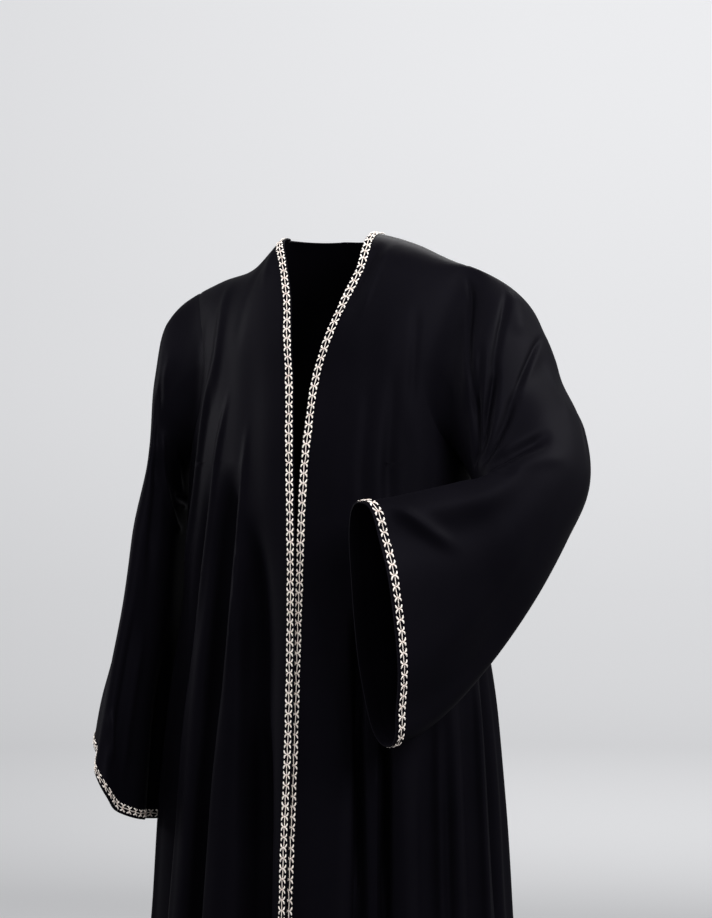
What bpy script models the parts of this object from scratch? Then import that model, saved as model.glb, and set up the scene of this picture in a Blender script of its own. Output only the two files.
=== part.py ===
"""Open abaya cloak, worn: two fronts, a back, two bell sleeves and chain-braid trim.

Metres, +Z up.  The wearer faces -Y and the wearer's left is +X.  The origin is the middle of
the neck, level with the neck ends of the shoulder seams.  The right arm hangs, and the left
arm is bent so that its wide cuff droops in front of the waist.
"""

import math
from collections import namedtuple

import bmesh
import bpy
import numpy as np

# ---- driving dimensions -------------------------------------------------------------------

CLOTH = 0.0016            # thickness of the crepe, folded edges included
SEAM_GAP = 0.0003         # clear space between two pieces that are sewn together
HEM_Z = -1.46             # hem, 146 cm below the neck end of the shoulder seam
UNDERARM_Z = -0.30        # lowest point of the armholes
CHEST_Z = -0.17           # above this height the body rounds over to the shoulder seams
SHOULDER_POWER = 2.2      # squareness of that rounding
NECK_HALF = 0.062         # half width of the neck opening at the shoulder seams
NAPE_DEPTH = 0.050        # how far the neck opening reaches behind the shoulder seams
NAPE_RISE = 0.018         # how far the back stands up behind the neck, above the shoulder line
NAPE_DROP = 30.0          # degrees by which the back of the neck stops short of the seam
ARMHOLE_SWEEP = 38.0      # degrees by which the armholes cut in from the side seams
TIP_X = 0.187             # sleeve end of each shoulder seam

BRAID_WIDTH = 0.0125
BRAID_THICK = 0.0014
NAPE_LIFT = 0.0006        # clear space under the braid where it curves round the neck
BRAID_INSET = 0.0015      # cloth left showing between the braid and the folded edge
EDGE_STRIP = 0.0155       # width of the panels' first column, which carries the braid
OVERLAP_DEPTH = 0.0022    # how far each front leans from the body's form where they overlap
OVERLAP_REACH = 0.05      # width of that lean, in from the edge
OVERLAP_TOP_Z = -0.40     # the fronts lie on each other below this height
OVERLAP_FADE = 0.12       # height over which the lean fades out, above it
SEAM_MATCH = 0.3          # pieces whose normals agree this well at a seam share one

FRONT_COLUMNS = 11        # columns of faces in each front, besides the one under the braid
NECK_COLUMNS = 6          # columns of the back on each side of its middle, under the neck
SHOULDER_COLUMNS = 7      # and between there and the side seam
NECK_SHARE = 0.262        # share of a half back's angle that is under the neck
LOWER_ROWS = (-1.46, -1.32, -1.18, -1.04, -0.91, -0.79, -0.68, -0.58, -0.49, -0.41, -0.35)
ARMHOLE_ROWS = (-0.30, -0.292, -0.268, -0.225, -0.17)
SHOULDER_STEPS = (0.26, 0.50, 0.70, 0.87, 1.0)     # shares of the rounding over the shoulder
NAPE_STATIONS = 14        # lengths of braid round the back of the neck
SLEEVE_STEPS = (1, 2, 2, 1, 1, 1, 1, 1, 1, 1, 1, 1)  # rings of faces to each pair of rings

# ---- the body's form ----------------------------------------------------------------------

Section = namedtuple("Section", "z half_width front_depth back_depth")
BODY = (
    Section(-1.46, 0.288, 0.200, 0.205),
    Section(-1.20, 0.268, 0.186, 0.185),
    Section(-0.90, 0.246, 0.170, 0.162),
    Section(-0.65, 0.227, 0.155, 0.142),
    Section(-0.45, 0.204, 0.146, 0.118),
    Section(-0.30, 0.195, 0.140, 0.108),
    Section(-0.15, 0.195, 0.120, 0.100),
    Section(0.02, 0.200, 0.100, 0.088),
)

ShoulderPoint = namedtuple("ShoulderPoint", "x z")
SHOULDER_LEFT = (
    ShoulderPoint(0.000, 0.006),
    ShoulderPoint(0.065, 0.004),
    ShoulderPoint(0.118, -0.011),
    ShoulderPoint(0.166, -0.033),
    ShoulderPoint(0.200, -0.045),
)
SHOULDER_RIGHT = (
    ShoulderPoint(0.000, 0.006),
    ShoulderPoint(0.060, 0.000),
    ShoulderPoint(0.095, -0.034),
    ShoulderPoint(0.150, -0.054),
    ShoulderPoint(0.200, -0.074),
)

EdgePoint = namedtuple("EdgePoint", "z right_x left_x")      # the fronts' free edges
FRONT_EDGES = (
    EdgePoint(-1.46, 0.000, -0.003),
    EdgePoint(-0.88, 0.002, -0.002),
    EdgePoint(-0.62, 0.005, 0.001),
    EdgePoint(-0.47, 0.006, 0.002),
    EdgePoint(-0.37, 0.004, 0.004),
    EdgePoint(-0.26, -0.001, 0.011),
    EdgePoint(-0.19, -0.005, 0.020),
    EdgePoint(-0.14, -0.011, 0.033),
    EdgePoint(-0.09, -0.018, 0.050),
    EdgePoint(-0.045, -0.034, 0.063),
    EdgePoint(0.004, -NECK_HALF, NECK_HALF),
)

# Folds of the body.  Angles run round the body from the front: +90 is the wearer's left side,
# -90 the right side and 180 the middle of the back.  A ridge has a positive depth.
Fold = namedtuple("Fold", "angle_top angle_low z_top z_low half_angle depth")
BODY_FOLDS = (
    Fold(-14.0, -10.0, -0.34, -1.46, 7.5, -0.021),
    Fold(-24.0, -28.0, -0.24, -1.46, 5.5, 0.010),
    Fold(-33.0, -36.0, -0.26, -1.46, 4.5, -0.010),
    Fold(-38.0, -45.0, -0.22, -1.46, 5.5, 0.010),
    Fold(-55.0, -57.0, -0.42, -1.46, 6.5, -0.018),
    Fold(27.5, 28.0, -0.20, -0.42, 3.5, -0.007),
    Fold(38.0, 38.5, -0.18, -0.42, 3.5, -0.007),
    Fold(24.5, 23.0, -0.48, -1.46, 4.5, -0.022),
    Fold(32.5, 31.0, -0.56, -1.46, 3.5, -0.016),
    Fold(52.0, 46.0, -0.50, -1.46, 6.5, -0.018),
    Fold(68.0, 65.0, -0.50, -1.46, 5.0, -0.016),
    Fold(104.0, 106.0, -0.52, -1.46, 6.0, -0.020),
    Fold(126.0, 122.0, -0.34, -1.46, 6.0, -0.018),
    Fold(141.0, 143.0, -0.44, -1.46, 5.5, -0.025),
    Fold(160.0, 162.0, -0.26, -1.46, 6.5, -0.019),
    Fold(181.0, 184.0, -0.38, -1.46, 6.0, -0.027),
    Fold(200.0, 203.0, -0.24, -1.46, 6.0, -0.017),
    Fold(221.0, 219.0, -0.40, -1.46, 6.5, -0.025),
    Fold(238.0, 241.0, -0.50, -1.46, 5.0, -0.018),
    Fold(256.0, 258.0, -0.46, -1.46, 5.5, -0.019),
)
FOLD_FADE = 0.22          # height over which a fold deepens below its top
FOLD_GROWTH = 0.45        # share of its depth that a fold gains on the way to its lower end

# ---- the sleeves --------------------------------------------------------------------------

# Each ring is an oval: its centre, the half axis to the outer line (which starts at the
# shoulder tip), the half axis to the front line (which starts at the front of the armhole)
# and its squareness, 2 for an ellipse.
Ring = namedtuple("Ring", "centre outward forward power")
SLEEVE_RIGHT = (
    Ring((-0.2110, 0.000, -0.203), (-0.0100, 0.000, 0.108), (0.004, -0.079, 0.000), 2.0),
    Ring((-0.2190, -0.002, -0.243), (-0.0130, 0.000, 0.092), (0.000, -0.081, 0.000), 2.0),
    Ring((-0.2240, -0.006, -0.310), (-0.0165, 0.000, 0.068), (0.000, -0.083, 0.000), 2.0),
    Ring((-0.2340, -0.010, -0.392), (-0.0215, 0.000, 0.050), (0.000, -0.087, 0.000), 2.1),
    Ring((-0.2450, -0.015, -0.490), (-0.0240, 0.000, 0.042), (0.000, -0.094, -0.002), 2.2),
    Ring((-0.2590, -0.020, -0.585), (-0.0270, 0.000, 0.040), (0.000, -0.104, -0.002), 2.3),
    Ring((-0.2690, -0.026, -0.658), (-0.0290, 0.000, 0.048), (0.003, -0.115, 0.004), 2.3),
    Ring((-0.2760, -0.032, -0.727), (-0.0300, 0.000, 0.056), (0.009, -0.128, 0.011), 2.3),
)
SLEEVE_LEFT = (
    Ring((0.2240, 0.000, -0.190), (0.0210, 0.000, 0.115), (-0.024, -0.083, -0.012), 2.0),
    Ring((0.2480, -0.002, -0.229), (0.0280, 0.000, 0.099), (-0.022, -0.087, -0.020), 2.0),
    Ring((0.2660, -0.010, -0.270), (0.0320, 0.004, 0.080), (-0.026, -0.090, -0.016), 2.0),
    Ring((0.2880, -0.030, -0.300), (0.0380, 0.006, 0.061), (-0.034, -0.084, -0.004), 2.0),
    Ring((0.2980, -0.052, -0.332), (0.0390, -0.012, 0.034), (-0.041, -0.070, 0.018), 2.1),
    Ring((0.2850, -0.077, -0.362), (0.0370, -0.027, 0.012), (-0.037, -0.057, 0.043), 2.2),
    Ring((0.2635, -0.102, -0.398), (0.0350, -0.032, -0.003), (-0.027, -0.046, 0.077), 2.3),
    Ring((0.2320, -0.130, -0.437), (0.0330, -0.031, -0.004), (-0.020, -0.040, 0.108), 2.4),
    Ring((0.1990, -0.163, -0.470), (0.0320, -0.031, -0.003), (-0.014, -0.028, 0.134), 2.5),
    Ring((0.1690, -0.193, -0.490), (0.0330, -0.030, -0.002), (-0.011, -0.018, 0.148), 2.5),
    Ring((0.1400, -0.224, -0.499), (0.0370, -0.027, 0.000), (-0.013, -0.012, 0.152), 2.5),
)

# Folds of a sleeve.  Turn runs round the ring in degrees: 0 outer line, 90 front, 180 under,
# 270 back.  Along runs from 0 at the armhole to 1 at the cuff.
SleeveFold = namedtuple("SleeveFold", "turn_top turn_low along_top along_low half_turn depth")
RIGHT_SLEEVE_FOLDS = (
    SleeveFold(40.0, 62.0, 0.30, 1.00, 16.0, -0.008),
    SleeveFold(125.0, 135.0, 0.45, 1.00, 18.0, -0.007),
    SleeveFold(300.0, 310.0, 0.35, 1.00, 20.0, -0.009),
    SleeveFold(232.0, 236.0, 0.50, 1.00, 16.0, -0.006),
)
LEFT_SLEEVE_FOLDS = (
    SleeveFold(20.0, 40.0, 0.55, 1.00, 18.0, -0.007),
    SleeveFold(330.0, 318.0, 0.60, 1.00, 18.0, -0.008),
    SleeveFold(150.0, 160.0, 0.60, 1.00, 20.0, -0.006),
)

# ---- small helpers ------------------------------------------------------------------------


def unit(vectors):
    """The vectors, each of length one."""
    return vectors / np.linalg.norm(vectors, axis=-1, keepdims=True)


def ease(value):
    """A smooth step from 0 to 1."""
    value = min(max(value, 0.0), 1.0)
    return value * value * (3.0 - 2.0 * value)


def table_value(position, positions, values):
    """A smooth curve through a table whose positions rise, read at one position."""
    positions = np.asarray(positions, float)
    values = np.asarray(values, float)
    slopes = np.gradient(values, positions)
    position = min(max(position, positions[0]), positions[-1])
    index = min(int(np.searchsorted(positions, position, side="right")) - 1, len(positions) - 2)
    span = positions[index + 1] - positions[index]
    share = (position - positions[index]) / span
    start = (1 + 2 * share) * (1 - share) ** 2 * values[index]
    start += share * (1 - share) ** 2 * span * slopes[index]
    end = share ** 2 * (3 - 2 * share) * values[index + 1]
    end += share ** 2 * (share - 1) * span * slopes[index + 1]
    return start + end


def column(table, name, position, key="z"):
    """One named column of a table, read at a position of its key column."""
    return table_value(position, [getattr(row, key) for row in table],
                       [getattr(row, name) for row in table])


def angle_between(first, second):
    """The difference of two angles in degrees, from -180 to 180."""
    return (first - second + 180.0) % 360.0 - 180.0


# ---- the body surface ---------------------------------------------------------------------

# Over is the angle in degrees by which the body has rounded over towards the shoulders: 0 up
# to CHEST_Z, and 90 on the shoulder line, where the fronts meet the back.


def shoulder_z(x):
    """Height of the shoulder line over a point."""
    table = SHOULDER_LEFT if x > 0 else SHOULDER_RIGHT
    return column(table, "z", abs(x), key="x")


def back_top(x):
    """Height of the top line of the back's form: the shoulder line, raised behind the neck."""
    inside = min(abs(x) / NECK_HALF, 1.0)
    return shoulder_z(x) + NAPE_RISE * (1.0 + math.cos(math.pi * inside)) / 2.0


def body_fold(angle, z):
    """How far the folds move the cloth out at an angle and height."""
    total = 0.0
    for fold in BODY_FOLDS:
        down = (fold.z_top - z) / (fold.z_top - fold.z_low)
        if down <= 0.0 or (down > 1.0 and fold.z_low > HEM_Z):
            continue
        middle = fold.angle_top + (fold.angle_low - fold.angle_top) * down
        across = angle_between(angle, middle) / fold.half_angle
        strength = ease((fold.z_top - z) / FOLD_FADE)
        strength *= 1.0 - FOLD_GROWTH + FOLD_GROWTH * down
        if fold.z_low > HEM_Z:
            strength *= ease((z - fold.z_low) / FOLD_FADE * 2.0)
        total += fold.depth * strength * math.exp(-across * across)
    return total


def body_point(angle, z, over):
    """A point of the body form."""
    turn = math.radians(angle)
    climb = math.sin(math.radians(over))
    for _ in range(4 if over > 0.0 else 1):
        x = column(BODY, "half_width", z) * math.sin(turn)
        if over > 0.0:
            top = back_top(x) if math.cos(turn) < 0.0 else shoulder_z(x)
            z = CHEST_Z + (top - CHEST_Z) * climb
    depth = column(BODY, "back_depth" if math.cos(turn) < 0.0 else "front_depth", z)
    depth *= max(0.0, 1.0 - climb ** SHOULDER_POWER) ** (1.0 / SHOULDER_POWER)
    out = body_fold(angle, z) * (1.0 - climb)
    return np.array((x + out * math.sin(turn), -(depth + out) * math.cos(turn), z))


def body_normal(angle, z, over):
    """The outward normal of the body form."""
    if over >= 90.0:
        x = body_point(angle, z, over)[0]
        slope = (shoulder_z(x + 0.004) - shoulder_z(x - 0.004)) / 0.008
        return unit(np.array((-slope, 0.0, 1.0)))
    around = body_point(angle + 1.0, z, over) - body_point(angle - 1.0, z, over)
    if over > 0.0:
        upward = body_point(angle, z, over + 2.0) - body_point(angle, z, over - 2.0)
    else:
        upward = body_point(angle, z + 0.004, over) - body_point(angle, z - 0.004, over)
    return unit(np.cross(around, upward))


def body_rows():
    """Every row of the panels from the hem up, as its height and its share of the rounding."""
    rows = [(z, 0.0) for z in LOWER_ROWS + ARMHOLE_ROWS]
    return rows + [(CHEST_Z, share) for share in SHOULDER_STEPS]


def armhole_angle(z, share):
    """Angle at which the panels stop, measured from the front: 90 at the side seams."""
    climb = min(max((z - UNDERARM_Z) / (CHEST_Z - UNDERARM_Z), 0.0), 1.0)
    angle = 90.0 - ARMHOLE_SWEEP * math.sqrt(1.0 - (1.0 - climb) ** 2)
    if share > 0.0:
        width = column(BODY, "half_width", z)
        chest_x = width * math.sin(math.radians(angle))
        reach = math.sin(share * math.pi / 2) ** 1.5
        angle = math.degrees(math.asin((chest_x + (TIP_X - chest_x) * reach) / width))
    return angle


def edge_angle(side, z, share):
    """Angle of a front's free edge."""
    name = "left_x" if side > 0 else "right_x"
    climb = math.sin(share * math.pi / 2)
    height = z + (shoulder_z(side * NECK_HALF) - z) * climb if share > 0.0 else z
    x = column(FRONT_EDGES, name, height)
    return math.degrees(math.asin(x / column(BODY, "half_width", height)))


def overlap_lean(side, arc, z):
    """How far a front leans out (right) or in (left) near its edge, to lie on the other."""
    across = ease(1.0 - arc / OVERLAP_REACH)
    height = ease((OVERLAP_TOP_Z + OVERLAP_FADE - z) / OVERLAP_FADE)
    return -side * OVERLAP_DEPTH * across * height


def front_panel(side):
    """Points and normals of a front, rows from the hem up, columns from the free edge."""
    grid = []
    normals = []
    for z, share in body_rows():
        over = 90.0 * share
        width = column(BODY, "half_width", z)
        start = edge_angle(side, z, share)
        strip = start + side * math.degrees(EDGE_STRIP / width)
        end = side * armhole_angle(z, share)
        angles = [start] + list(np.linspace(strip, end, FRONT_COLUMNS + 1))
        points = [body_point(angle, z, over) for angle in angles]
        facing = [body_normal(angle, z, over) for angle in angles]
        for point, normal, angle in zip(points, facing, angles):
            arc = abs(math.radians(angle - start)) * width
            point += normal * overlap_lean(side, arc, point[2])
        grid.append(points)
        normals.append(facing)
    return np.array(grid), np.array(normals)


def back_panel():
    """Points and normals of the back, rows from the hem up, columns from left to right."""
    inner = np.linspace(0.0, NECK_SHARE, NECK_COLUMNS + 1)
    outer = np.linspace(NECK_SHARE, 1.0, SHOULDER_COLUMNS + 1)
    half = np.concatenate([inner, outer[1:]])
    shares_across = np.concatenate([-half[:0:-1], half])
    grid = []
    normals = []
    for z, share in body_rows():
        angles = 180.0 + shares_across * armhole_angle(z, share)
        overs = []
        for angle in angles:
            x = column(BODY, "half_width", 0.0) * math.sin(math.radians(angle))
            inside = max(0.0, 1.0 - (x / NECK_HALF) ** 2)
            overs.append(share * (90.0 - NAPE_DROP * math.sqrt(inside)))
        grid.append([body_point(angle, z, over) for angle, over in zip(angles, overs)])
        normals.append([body_normal(angle, z, over) for angle, over in zip(angles, overs)])
    return np.array(grid), np.array(normals)


# ---- sleeves ------------------------------------------------------------------------------


def oval(ring, turns):
    """Points of a sleeve ring at the given turns in degrees."""
    power = 2.0 / ring.power
    points = []
    for turn in turns:
        across = math.cos(math.radians(turn))
        along = math.sin(math.radians(turn))
        outward = math.copysign(abs(across) ** power, across)
        forward = math.copysign(abs(along) ** power, along)
        points.append(np.array(ring.centre) + outward * np.array(ring.outward)
                      + forward * np.array(ring.forward))
    return np.array(points)


def between(before, start, end, after, share):
    """A smooth curve through four rings, read between the middle two."""
    return 0.5 * (2 * start + (end - before) * share
                  + (2 * before - 5 * start + 4 * end - after) * share ** 2
                  + (3 * start - before - 3 * end + after) * share ** 3)


def sleeve_grid(armhole, table, folds, steps, side):
    """Points of a sleeve, rows from the armhole to the cuff and columns round it."""
    turns = [360.0 * index / len(armhole) for index in range(len(armhole))]
    rings = [armhole] + [oval(ring, turns) for ring in table]
    rows = []
    for index in range(len(rings) - 1):
        before = rings[max(index - 1, 0)]
        after = rings[min(index + 2, len(rings) - 1)]
        for step in range(steps[index]):
            share = step / steps[index]
            rows.append(between(before, rings[index], rings[index + 1], after, share))
    rows.append(rings[-1])
    grid = np.array(rows)
    normals = side * grid_normals(grid, closed=True)
    for row in range(1, len(grid)):
        along = row / (len(grid) - 1)
        for col, turn in enumerate(turns):
            grid[row, col] += sleeve_fold(folds, turn, along) * normals[row, col]
    return grid


def sleeve_fold(folds, turn, along):
    """How far a sleeve's folds move the cloth out."""
    total = 0.0
    for fold in folds:
        down = (along - fold.along_top) / (fold.along_low - fold.along_top)
        if down <= 0.0:
            continue
        middle = fold.turn_top + (fold.turn_low - fold.turn_top) * down
        across = angle_between(turn, middle) / fold.half_turn
        total += fold.depth * ease(down * 2.0) * math.exp(-across * across)
    return total


# ---- walls --------------------------------------------------------------------------------


def grid_normals(grid, closed):
    """Outward normals of a grid whose rows climb and whose columns turn to the left."""
    if closed:
        across = np.roll(grid, -1, axis=1) - np.roll(grid, 1, axis=1)
    else:
        across = np.gradient(grid, axis=1)
    return unit(np.cross(across, np.gradient(grid, axis=0)))


def make_object(name, vertices, faces, material, collection):
    """A mesh object with its faces turned outward."""
    mesh = bpy.data.meshes.new(name)
    mesh.from_pydata([tuple(vertex) for vertex in vertices], [], faces)
    build = bmesh.new()
    build.from_mesh(mesh)
    bmesh.ops.recalc_face_normals(build, faces=build.faces)
    if build.calc_volume(signed=True) < 0.0:
        bmesh.ops.reverse_faces(build, faces=build.faces)
    build.to_mesh(mesh)
    build.free()
    mesh.materials.append(material)
    mesh.shade_smooth()
    mesh.set_sharp_from_angle(angle=math.radians(50.0))
    piece = bpy.data.objects.new(name, mesh)
    collection.objects.link(piece)
    return piece


def wall(name, outer, inner, closed, material, collection):
    """A closed wall between two grids of points, open at its first and last rows."""
    rows, columns = outer.shape[:2]
    count = rows * columns
    vertices = np.concatenate([outer.reshape(-1, 3), inner.reshape(-1, 3)])
    last = columns if closed else columns - 1
    faces = []
    for row in range(rows - 1):
        for col in range(last):
            after = (col + 1) % columns
            face = [row * columns + col, row * columns + after,
                    (row + 1) * columns + after, (row + 1) * columns + col]
            faces.append(face)
            faces.append([index + count for index in reversed(face)])
    rims = [[(row * columns + col, row * columns + (col + 1) % columns)
             for col in range(last)] for row in (0, rows - 1)]
    if not closed:
        rims += [[(row * columns + col, (row + 1) * columns + col)
                  for row in range(rows - 1)] for col in (0, columns - 1)]
    for rim in rims:
        for start, end in rim:
            faces.append([start, start + count, end + count, end])
    return make_object(name, vertices, faces, material, collection)


def trimmed(grid, sides):
    """The grid with the named borders pulled in by half the seam gap."""
    grid = grid.copy()
    borders = {"first_row": (0, 1, 0), "last_row": (-1, -2, 0),
               "first_column": (0, 1, 1), "last_column": (-1, -2, 1)}
    for side in sides:
        border, neighbour, axis = borders[side]
        edge = np.take(grid, border, axis=axis)
        toward = unit(np.take(grid, neighbour, axis=axis) - edge)
        moved = edge + toward * SEAM_GAP / 2
        if axis == 0:
            grid[border] = moved
        else:
            grid[:, border] = moved
    return grid


def strip_on(edge, inner, lift):
    """Points of a strip beside a panel's edge, from its edge points and their neighbours."""
    across = unit(inner - edge)
    rails = [edge + across * distance + lift
             for distance in (BRAID_INSET, BRAID_INSET + BRAID_WIDTH)]
    return np.stack(rails, axis=1)


def shoulder_height(x, y):
    """Height of the back's form over a point near the neck."""
    z = back_top(x)
    for _ in range(4):
        cosine = math.sqrt(1.0 - (x / column(BODY, "half_width", z)) ** 2)
        depth = cosine * column(BODY, "back_depth", z)
        climb = (1.0 - (abs(y) / depth) ** SHOULDER_POWER) ** (1.0 / SHOULDER_POWER)
        z = CHEST_Z + (back_top(x) - CHEST_Z) * climb
    return z


def nape_strip():
    """Points of the braid's strip round the back of the neck, on the body form."""
    rows = []
    for turn in np.radians(np.linspace(0.0, 180.0, NAPE_STATIONS + 1)):
        row = []
        for distance in np.linspace(BRAID_INSET, BRAID_INSET + BRAID_WIDTH, 3):
            x = (NECK_HALF + distance) * math.cos(turn)
            y = (NAPE_DEPTH + distance) * math.sin(turn)
            row.append((x, y, shoulder_height(x, y)))
        rows.append(row)
    return trimmed(np.array(rows), ("first_row", "last_row"))


# ---- materials and assembly ---------------------------------------------------------------


def material(name, colour, roughness, metallic):
    """A plain Principled material."""
    result = bpy.data.materials.new(name)
    result.use_nodes = True
    shader = result.node_tree.nodes["Principled BSDF"]
    shader.inputs["Base Color"].default_value = (*colour, 1.0)
    shader.inputs["Roughness"].default_value = roughness
    shader.inputs["Metallic"].default_value = metallic
    return result


def crepe(piece):
    """The black crepe of one piece."""
    return material("crepe_" + piece, (0.012, 0.012, 0.016), 0.55, 0.0)


def chain(piece):
    """The cream chain braid of one piece."""
    return material("braid_" + piece, (0.78, 0.64, 0.54), 0.40, 0.0)


def clear_scene():
    """Remove every object of the scene."""
    for item in list(bpy.data.objects):
        bpy.data.objects.remove(item)


def armhole_places(side):
    """Where an armhole's points are kept: panel, row and column, from the tip to the front."""
    front = "front_left" if side > 0 else "front_right"
    column_of_back = 0 if side > 0 else -1
    low = len(LOWER_ROWS)
    top = low + len(ARMHOLE_ROWS) + len(SHOULDER_STEPS) - 1
    places = [(front, row, -1) for row in range(top, low - 1, -1)]
    return places + [("back", row, column_of_back) for row in range(low + 1, top)]


def set_in_sleeve(side, panels, table, folds):
    """Points and normals of a sleeve that starts at an armhole, and matching normals there."""
    places = armhole_places(side)
    armhole = np.array([panels[name][0][row, col] for name, row, col in places])
    body = np.array([panels[name][1][row, col] for name, row, col in places])
    grid = sleeve_grid(armhole, table, folds, SLEEVE_STEPS, side)
    normals = side * grid_normals(grid, closed=True)
    for index, (name, row, col) in enumerate(places):
        if np.dot(body[index], normals[0, index]) > SEAM_MATCH:
            shared = unit(body[index] + normals[0, index])
            normals[0, index] = shared
            panels[name][1][row, col] = shared
    tip_name, tip_row, _ = places[0]
    back_column = 0 if side > 0 else -1
    panels["back"][1][tip_row, back_column] = panels[tip_name][1][tip_row, -1]
    grid[0] += SEAM_GAP * unit(grid[1] - grid[0])
    return grid, normals


def add_cloth(pieces, seams, closed, collection):
    """Build the wall of every piece of cloth, trimmed along its seams."""
    for name, (grid, normals) in pieces.items():
        outer = trimmed(grid, seams.get(name, ()))
        wall(name, outer, outer - normals * CLOTH, closed, crepe(name), collection)


def add_braids(panels, sleeves, collection):
    """Build the braid on the fronts' edges, round the cuffs and round the back of the neck."""
    for side in ("right", "left"):
        grid, normals = panels["front_" + side]
        grid = trimmed(grid, ("last_row",))
        lifts = [normals[:, 0] * lift for lift in (SEAM_GAP + BRAID_THICK, SEAM_GAP)]
        strips = [strip_on(grid[:, 0], grid[:, 1], lift) for lift in lifts]
        name = "front_braid_" + side
        wall(name, strips[0], strips[1], False, chain(name), collection)
        grid, normals = sleeves["sleeve_" + side]
        lifts = [normals[-1] * lift for lift in (SEAM_GAP + BRAID_THICK, SEAM_GAP)]
        strips = [strip_on(grid[-1], grid[-2], lift).transpose(1, 0, 2) for lift in lifts]
        name = "cuff_braid_" + side
        wall(name, strips[0], strips[1], True, chain(name), collection)
    strip = nape_strip()
    normals = grid_normals(strip, closed=False)
    low = strip + normals * NAPE_LIFT
    wall("back_neck_braid", low + normals * BRAID_THICK, low, False,
         chain("back_neck_braid"), collection)


def main():
    """Build every piece of the abaya."""
    clear_scene()
    abaya = bpy.data.collections.new("abaya_cloak")
    bpy.context.scene.collection.children.link(abaya)
    panels = {"front_right": front_panel(-1), "front_left": front_panel(1), "back": back_panel()}
    sleeves = {
        "sleeve_right": set_in_sleeve(-1, panels, SLEEVE_RIGHT, RIGHT_SLEEVE_FOLDS),
        "sleeve_left": set_in_sleeve(1, panels, SLEEVE_LEFT, LEFT_SLEEVE_FOLDS),
    }
    seams = {"front_right": ("last_column", "last_row"),
             "front_left": ("last_column", "last_row"),
             "back": ("first_column", "last_column", "last_row")}
    add_cloth(panels, seams, False, abaya)
    add_cloth(sleeves, seams, True, abaya)
    add_braids(panels, sleeves, abaya)


main()
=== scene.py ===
"""Looks of the open abaya cloak, worn: creased black crepe with chain braid in relief.

Metres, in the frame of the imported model: +Z up, the wearer faces -Y, the wearer's left is +X,
and the origin is the middle of the neck.  The sizes, tables and form functions repeat those of
the solids to within 3 mm, on far finer grids, and the creases are added to them here.
"""

import math
from collections import namedtuple

import bpy
import numpy as np
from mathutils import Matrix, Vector


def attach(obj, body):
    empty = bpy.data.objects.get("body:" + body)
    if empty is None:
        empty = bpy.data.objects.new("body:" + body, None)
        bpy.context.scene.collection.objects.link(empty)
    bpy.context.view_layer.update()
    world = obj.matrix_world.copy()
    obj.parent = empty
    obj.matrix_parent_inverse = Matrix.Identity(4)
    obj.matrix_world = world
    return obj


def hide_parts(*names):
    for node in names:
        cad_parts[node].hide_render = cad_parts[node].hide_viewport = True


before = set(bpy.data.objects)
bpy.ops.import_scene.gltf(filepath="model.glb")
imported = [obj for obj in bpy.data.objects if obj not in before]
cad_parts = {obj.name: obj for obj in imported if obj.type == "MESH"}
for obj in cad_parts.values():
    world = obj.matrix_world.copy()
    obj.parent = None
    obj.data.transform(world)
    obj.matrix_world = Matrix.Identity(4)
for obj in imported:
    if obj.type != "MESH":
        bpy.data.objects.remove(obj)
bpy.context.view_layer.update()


def table(columns, *rows):
    """Rows of values, each with the columns' names."""
    row = namedtuple("Row", columns)
    return [row(*values) for values in rows]


# ---- sizes --------------------------------------------------------------------------------

MM = 0.001
CLOTH = 0.0016            # thickness of the crepe, folded edges included
HEM_Z = -1.46             # hem
UNDERARM_Z = -0.30        # lowest point of the armholes
CHEST_Z = -0.17           # above this height the body rounds over to the shoulder seams
SHOULDER_POWER = 2.2      # squareness of that rounding
NECK_HALF = 0.062         # half width of the neck opening at the shoulder seams
NAPE_DEPTH = 0.050        # how far the neck opening reaches behind the shoulder seams
NAPE_RISE = 0.018         # how far the back stands up behind the neck, above the shoulder line
NAPE_DROP = 30.0          # degrees by which the back of the neck stops short of the seam
ARMHOLE_SWEEP = 38.0      # degrees by which the armholes cut in from the side seams
TIP_X = 0.187             # sleeve end of each shoulder seam
BRAID_WIDTH = 0.0125
BRAID_LIFT = 0.0001       # clear space under the braid
BRAID_MIDDLE = 0.0058     # distance of its middle line from the fronts' and the neck's edge
NAPE_LIFT = 0.0006        # clear space under the braid where it curves round the neck
BRAID_INSET = 0.0015      # cloth left showing between the braid and the folded edge
EDGE_STRIP = 0.0155       # width of the panels' first strip, which carries the braid
OVERLAP_DEPTH = 0.0022    # how far each front leans from the body's form where they overlap
OVERLAP_REACH = 0.05      # width of that lean, in from the edge
OVERLAP_TOP_Z = -0.40     # the fronts lie on each other below this height
OVERLAP_FADE = 0.12       # height over which the lean fades out, above it
NECK_SHARE = 0.262        # share of a half back's angle that is under the neck
FOLD_FADE = 0.22          # height over which a fold deepens below its top
FOLD_GROWTH = 0.45        # share of its depth that a fold gains on the way to its lower end
FOLD_END_FADE = 0.11      # height over which a fold that stops above the hem runs out
SLEEVE_FOLD_FADE = 0.5    # share of its length over which a sleeve's fold deepens
REACH_POWER = 1.5         # curve of the armhole's upper part
SETTLE_ROUNDS = 4         # rounds in which a height and what depends on it settle

BODY = table(
    "z half_width front_depth back_depth",
    (-1.46, 0.288, 0.200, 0.205),
    (-1.20, 0.268, 0.186, 0.185),
    (-0.90, 0.246, 0.170, 0.162),
    (-0.65, 0.227, 0.155, 0.142),
    (-0.45, 0.204, 0.146, 0.118),
    (-0.30, 0.195, 0.140, 0.108),
    (-0.15, 0.195, 0.120, 0.100),
    (0.02, 0.200, 0.100, 0.088),
)

SHOULDER_LEFT = table(
    "x z",
    (0.000, 0.006),
    (0.065, 0.004),
    (0.118, -0.011),
    (0.166, -0.033),
    (0.200, -0.045),
)
SHOULDER_RIGHT = table(
    "x z",
    (0.000, 0.006),
    (0.060, 0.000),
    (0.095, -0.034),
    (0.150, -0.054),
    (0.200, -0.074),
)

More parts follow.
